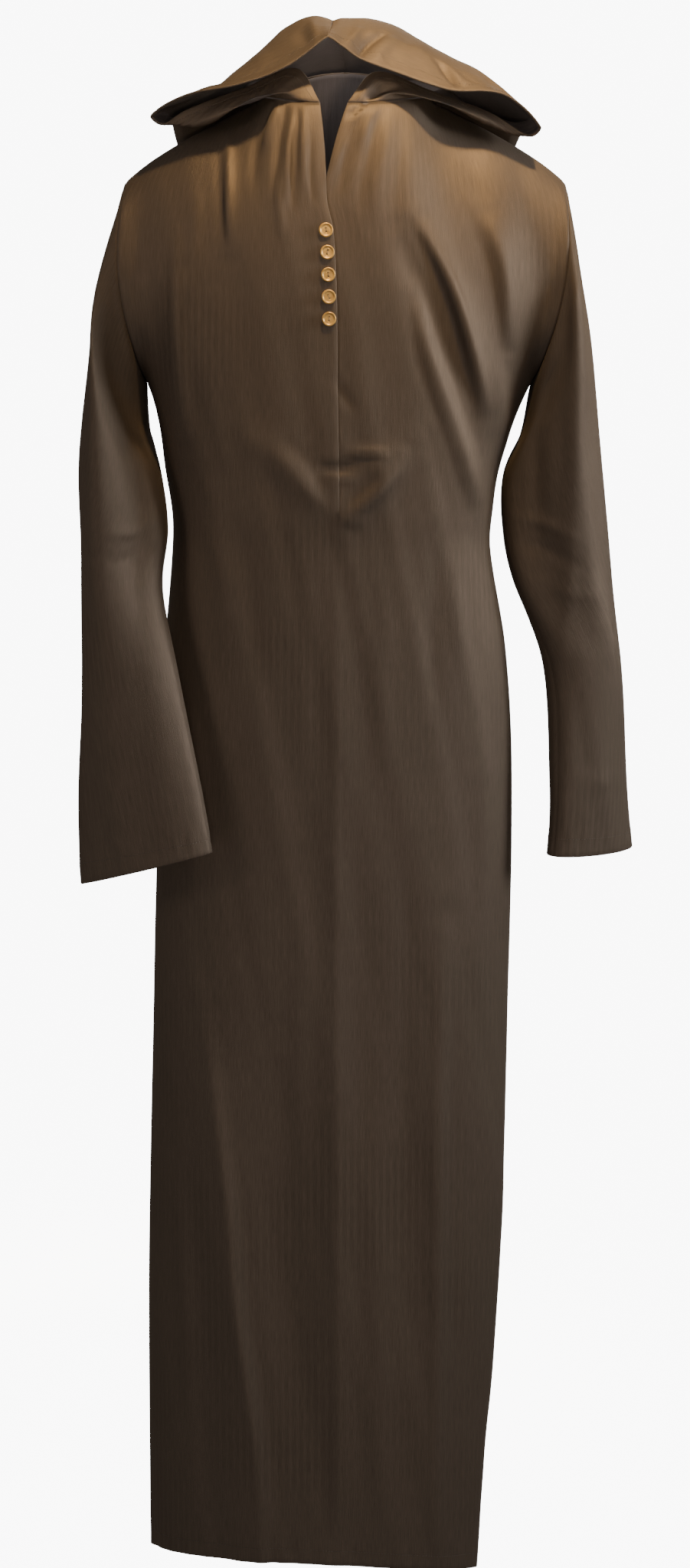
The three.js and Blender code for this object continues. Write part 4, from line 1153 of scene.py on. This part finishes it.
def thread_tube(points, radius, sides=8):
    """A closed thin tube along points, in millimetres."""
    points = smooth_path(points, 14)
    ahead = unit(np.gradient(points, axis=0))
    beside = unit(np.cross(ahead, np.array([1.0, 0, 0])))
    above = np.cross(beside, ahead)
    rings, faces = [], []
    for i in range(len(points)):
        for k in range(sides):
            angle = 2 * math.pi * k / sides
            ring = beside[i] * math.cos(angle) + above[i] * math.sin(angle)
            rings.append((points[i] + ring * radius) * MM)
    for i in range(len(points) - 1):
        for k in range(sides):
            a, b = i * sides + k, i * sides + (k + 1) % sides
            faces.append((a, b, b + sides, a + sides))
    faces.append(tuple(range(sides))[::-1])
    faces.append(tuple(len(rings) - sides + k for k in range(sides)))
    return rings, faces


def make_button_thread(name):
    """Two strands of thread that pass through the button's holes and across its middle."""
    points, faces = [], []
    half = BUTTON_HOLE_SPACING / 2
    for shift in (-0.24, 0.26):
        strand = [(shift, -half, 0.2), (shift, -half, 1.6), (shift * 1.3, -half * 0.45, 2.15),
                  (shift * 1.3, half * 0.45, 2.15), (shift, half, 1.6), (shift, half, 0.2)]
        ring, quads = thread_tube(strand, 0.24)
        faces.extend(tuple(len(points) + k for k in face) for face in quads)
        points.extend(ring)
    return new_object(name, points, faces)


def button_places():
    """Where each packed button sits, and the way that it faces, from its own solid."""
    places = []
    for number in range(1, 6):
        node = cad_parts[f"button_{number}"]
        mesh = node.data
        points = np.array([node.matrix_world @ v.co for v in mesh.vertices])
        middle = points.mean(axis=0)
        _, _, axes = np.linalg.svd(points - middle, full_matrices=False)
        outward = axes[2] * -np.sign(axes[2][1])
        depth = (points - middle) @ outward
        places.append((middle + outward * depth.min(), outward))
    return places


def turned(outward, degrees):
    """Rows of a turn that lays Z along outward, with Y as near to up as it goes."""
    right = unit(np.cross(np.array([0, 0, 1.0]), outward))
    up = np.cross(outward, right)
    angle = math.radians(degrees)
    x = right * math.cos(angle) + up * math.sin(angle)
    y = up * math.cos(angle) - right * math.sin(angle)
    return np.stack([x, y, outward])


def placed_copy(form, name, origin, rows):
    """A copy of a form with the place put into its mesh."""
    mesh = form.data.copy()
    points = np.array([v.co for v in mesh.vertices]) @ rows + origin
    mesh.vertices.foreach_set("co", points.ravel())
    mesh.update()
    return linked(name, mesh)


def make_buttons():
    form = cut_button()
    thread_form = make_button_thread("thread_form")
    for number, (origin, outward) in enumerate(button_places(), start=1):
        rows = turned(outward, BUTTON_TURNS[number - 1])
        button = placed_copy(form, f"button_{number}_shell", origin, rows)
        button.data.materials.append(materials["button"])
        thread = placed_copy(thread_form, f"button_{number}_thread", origin, rows)
        thread.data.materials.append(materials["button_thread"])
        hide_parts(f"button_{number}")
        for piece in (button, thread):
            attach(piece, "root")
    for piece in (form, thread_form):
        bpy.data.objects.remove(piece)


# Materials


def new_material(name):
    material = bpy.data.materials.new(name)
    material.use_nodes = True
    tree = material.node_tree
    return material, tree, tree.nodes["Principled BSDF"]


def set_inputs(made, values):
    for name, value in values.items():
        made.inputs[name].default_value = value


def node(tree, kind, inputs, **settings):
    made = tree.nodes.new(kind)
    for name, value in settings.items():
        setattr(made, name, value)
    set_inputs(made, inputs)
    return made


def noise(tree, source, scale, detail):
    settings = {"Scale": scale, "Detail": detail}
    made = node(tree, "ShaderNodeTexNoise", settings, noise_dimensions="3D")
    tree.links.new(source, made.inputs["Vector"])
    return made.outputs["Fac"]


def bands(tree, source, direction, scale, distortion):
    made = node(tree, "ShaderNodeTexWave", {"Scale": scale, "Distortion": distortion},
                wave_type="BANDS", bands_direction=direction, wave_profile="SIN")
    tree.links.new(source, made.inputs["Vector"])
    return made.outputs["Fac"]


def remapped(tree, source, settings):
    made = node(tree, "ShaderNodeMapRange", settings)
    tree.links.new(source, made.inputs["Value"])
    return made.outputs["Result"]


def bump(tree, height, strength, distance):
    made = node(tree, "ShaderNodeBump", {"Strength": strength, "Distance": distance})
    tree.links.new(height, made.inputs["Height"])
    return made


def ramp(tree, stops, source):
    made = tree.nodes.new("ShaderNodeValToRGB")
    points = made.color_ramp.elements
    while len(points) < len(stops):
        points.new(0.5)
    for point, (place, colour) in zip(points, stops):
        point.position = place
        point.color = (*colour, 1)
    tree.links.new(source, made.inputs["Fac"])
    return made.outputs["Color"]


def object_place(tree):
    return tree.nodes.new("ShaderNodeTexCoord").outputs["Object"]


def cloth_material(name, tones, stripe_tone, shine):
    """Cotton satin: narrow tonal stripes along the warp, uneven threads, a fine weave and a sheen."""
    material, tree, shader = new_material(name)
    link = tree.links.new
    uv = node(tree, "ShaderNodeUVMap", {}, uv_map="cloth").outputs["UV"]

    stripe = bands(tree, uv, "X", 43.6, 0)
    stripe = remapped(tree, stripe, {"From Min": 0.42, "From Max": 0.78})
    stretch = node(tree, "ShaderNodeMapping", {"Scale": (1500, 60, 1)})
    link(uv, stretch.inputs["Vector"])
    threads = noise(tree, stretch.outputs["Vector"], 1, 3)
    patches = noise(tree, object_place(tree), 9, 3)

    ground = ramp(tree, [(0.3, tones[0]), (0.7, tones[1])], patches)
    striped = node(tree, "ShaderNodeMix", {}, data_type="RGBA", blend_type="MIX")
    link(stripe, striped.inputs["Factor"])
    link(ground, striped.inputs["A"])
    striped.inputs["B"].default_value = (*stripe_tone, 1)
    slubs = node(tree, "ShaderNodeMix", {}, data_type="RGBA", blend_type="MULTIPLY")
    slubs.inputs["Factor"].default_value = 0.35
    link(striped.outputs["Result"], slubs.inputs["A"])
    slub_tone = ramp(tree, [(0.3, (0.66, 0.66, 0.66)), (0.7, (1.3, 1.28, 1.25))], threads)
    link(slub_tone, slubs.inputs["B"])
    link(slubs.outputs["Result"], shader.inputs["Base Color"])

    gloss = remapped(tree, threads, {"To Min": 0.62, "To Max": 0.5})
    link(gloss, shader.inputs["Roughness"])
    set_inputs(shader, {
        "Metallic": shine,
        "Specular IOR Level": 0.05,
        "Specular Tint": (0.36, 0.32, 0.28, 1),
        "Anisotropic": 0.45,
        "Sheen Weight": 0.04,
        "Sheen Roughness": 0.4,
        "Sheen Tint": (0.85, 0.68, 0.5, 1),
    })

    weave = node(tree, "ShaderNodeMath", {}, operation="MULTIPLY")
    link(bands(tree, uv, "X", 700, 0.6), weave.inputs[0])
    link(bands(tree, uv, "Y", 520, 0.6), weave.inputs[1])
    fine = bump(tree, weave.outputs["Value"], 0.35, 0.0002)
    coarse = bump(tree, threads, 0.3, 0.0004)
    link(fine.outputs["Normal"], coarse.inputs["Normal"])
    link(coarse.outputs["Normal"], shader.inputs["Normal"])
    return material


def thread_material(name, colour):
    material, tree, shader = new_material(name)
    fibre = noise(tree, object_place(tree), 2600, 2)
    dark = tuple(0.7 * c for c in colour)
    tree.links.new(ramp(tree, [(0.35, dark), (0.65, colour)], fibre), shader.inputs["Base Color"])
    shader.inputs["Roughness"].default_value = 0.55
    twist = bump(tree, fibre, 0.4, 0.0001)
    tree.links.new(twist.outputs["Normal"], shader.inputs["Normal"])
    return material


def button_material():
    """Pale gold, slightly cloudy, with a worn soft gloss."""
    material, tree, shader = new_material("pale_gold")
    cloud = noise(tree, object_place(tree), 240, 4)
    tone = ramp(tree, [(0.3, (0.46, 0.25, 0.06)), (0.7, (0.66, 0.39, 0.11))], cloud)
    tree.links.new(tone, shader.inputs["Base Color"])
    wear = remapped(tree, cloud, {"To Min": 0.28, "To Max": 0.5})
    tree.links.new(wear, shader.inputs["Roughness"])
    set_inputs(shader, {"Metallic": 0.55, "Coat Weight": 0.3, "Coat Roughness": 0.25})
    return material


# Stage, lights and camera

FLOOR_HEIGHT = -1.56
STAGE_DEPTH = 11
STAGE_NEAR = -12
WALL_TOP = 6
SWEEP_STEPS = 12
CAMERA_PLACE = (0, -2.8, -0.178)
CAMERA_PITCH = 80.26
CAMERA_LENS = 65.62


def make_stage():
    """A pale, evenly glowing floor that sweeps up into a wall far behind."""
    profile = [(STAGE_NEAR, FLOOR_HEIGHT), (STAGE_DEPTH, FLOOR_HEIGHT)]
    for k in range(1, SWEEP_STEPS + 1):
        angle = math.radians(90 * k / SWEEP_STEPS)
        profile.append((STAGE_DEPTH + math.sin(angle), FLOOR_HEIGHT + 1 - math.cos(angle)))
    profile.append((STAGE_DEPTH + 1, WALL_TOP))
    points = [(x, y, z) for y, z in profile for x in (-STAGE_DEPTH, STAGE_DEPTH)]
    faces = [(2 * i, 2 * i + 1, 2 * i + 3, 2 * i + 2) for i in range(len(profile) - 1)]
    floor = new_object("floor", points, faces)
    material, _, shader = new_material("pale_floor")
    set_inputs(shader, {
        "Base Color": (0.86, 0.86, 0.85, 1),
        "Roughness": 0.9,
        "Emission Color": (1, 1, 1, 1),
        "Emission Strength": 9,
    })
    floor.data.materials.append(material)
    floor.visible_diffuse = False
    floor.visible_glossy = False
    floor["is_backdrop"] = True


def add_lamp(name, kind, place, target, power, colour):
    data = bpy.data.lights.new(name, kind)
    data.energy = power
    data.color = colour
    light = linked(name, data)
    light.location = place
    way = np.array(target) - np.array(place)
    tilt = math.acos(-way[2] / np.linalg.norm(way))
    light.rotation_euler = (tilt, 0, math.atan2(way[1], way[0]) - math.pi / 2)
    return light


def area_light(name, place, target, size, power, colour, spread):
    data = add_lamp(name, "AREA", place, target, power, colour).data
    data.shape = "RECTANGLE"
    data.size, data.size_y = size
    data.spread = math.radians(spread)


def spot_light(name, place, target, degrees, power, colour, radius):
    data = add_lamp(name, "SPOT", place, target, power, colour).data
    data.spot_size = math.radians(degrees)
    data.spot_blend = 1
    data.shadow_soft_size = radius


def make_lights():
    """Dim light all round, a warm spot from above the front, and soft fills from each side."""
    world = bpy.data.worlds.new("studio")
    world.use_nodes = True
    set_inputs(world.node_tree.nodes["Background"], {"Color": (0.95, 0.96, 1, 1), "Strength": 0.22})
    bpy.context.scene.world = world
    spot_light("overhead", (0.35, -0.8, 1.7), (0.08, -0.02, 0.14), 19, 520, (1, 0.72, 0.37), 0.1)
    area_light("front_fill", (1.2, -2.4, 1.9), (0, 0, -0.55), (1, 0.8), 1, (1, 0.96, 0.88), 70)
    area_light("low_fill", (0.2, -3, -0.9), (0, 0, -1.1), (1, 0.8), 1.6, (1, 0.9, 0.84), 50)
    area_light("left_fill", (-1.9, -1.5, 0.3), (-0.2, 0, -0.3), (0.6, 0.6), 0.7, (1, 0.88, 0.8), 50)
    area_light("right_fill", (2.7, -0.5, 0.3), (0.25, 0, -0.35), (0.7, 0.9), 9.5, (0.9, 0.95, 1), 60)
    area_light("back_fill", (0.4, 3, 1.4), (0, 0, -0.6), (1, 1), 2.5, (1, 0.98, 0.96), 60)
    spot_light("hood_fill", (0.2, -2.5, -0.3), (0, 0, 0.11), 10, 230, (1, 0.84, 0.66), 0.15)
    inside = add_lamp("neck_fill", "POINT", (0, 0, 0.055), (0, 0, 0), 0.3, (1, 0.98, 0.98))
    inside.data.shadow_soft_size = 0.02
    inside.visible_camera = False


def make_camera():
    data = bpy.data.cameras.new("camera")
    data.lens = CAMERA_LENS
    data.sensor_width = 36
    camera = linked("camera", data)
    camera.location = CAMERA_PLACE
    camera.rotation_euler = (math.radians(CAMERA_PITCH), 0, 0)
    bpy.context.scene.camera = camera


# Assembly


def finish_cloth(piece, node_name):
    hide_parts(node_name)
    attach(piece, "root")


def finish_stitches(piece, material):
    piece.data.materials.append(material)
    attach(piece, "root")


make_camera()
make_lights()
make_stage()

materials = {
    "cloth": cloth_material(
        "cotton_satin", [(0.100, 0.075, 0.055), (0.118, 0.088, 0.065)], (0.112, 0.0836, 0.0615), 0.6
    ),
    # The inner face: the same satin with painted shade, darker and greyer for the hollow inside of the
    # garment, and with less shine.
    "inside_painted_shade": cloth_material(
        "cotton_satin_inside_painted_shade", [(0.064, 0.054, 0.050), (0.076, 0.064, 0.059)], (0.074, 0.062, 0.058), 0.1
    ),
    "thread": thread_material("sewing_thread", (0.10, 0.075, 0.052)),
    "button": button_material(),
    "button_thread": thread_material("button_thread", (0.30, 0.20, 0.09)),
}

front, front_grid, front_normals = make_front()
back, back_grid, back_normals = make_back()
underlap = make_underlap(front_grid, front_normals)
finish_cloth(front, "front")
finish_cloth(back, "back")
finish_cloth(underlap, "placket_underlap")

for name, grid, normals in (("front", front_grid, front_normals), ("back", back_grid, back_normals)):
    rows = make_stitches(f"{name}_hem_stitches", grid[HEM_STITCH_ROW], normals[HEM_STITCH_ROW])
    finish_stitches(rows, materials["thread"])

for side, name in ((LEFT, "left"), (RIGHT, "right")):
    sleeve, grid, normals = make_sleeve(side, f"sleeve_{name}_cloth")
    finish_cloth(sleeve, f"sleeve_{name}")
    row = HEM_STITCH_ROW - 1
    ring, ring_normals = (np.vstack([part[row], part[row, :1]]) for part in (grid, normals))
    finish_stitches(make_stitches(f"cuff_{name}_stitches", ring, ring_normals), materials["thread"])
    hood, grid, normals = make_hood(side, f"hood_{name}_cloth")
    finish_cloth(hood, f"hood_{name}")
    row = HEM_STEPS
    finish_stitches(make_stitches(f"hood_{name}_stitches", grid[row], normals[row]), materials["thread"])

make_buttons()

boxes = {"cad": cad_box, "visual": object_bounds()}
{key: [list(corner) for corner in box] for key, box in boxes.items()}
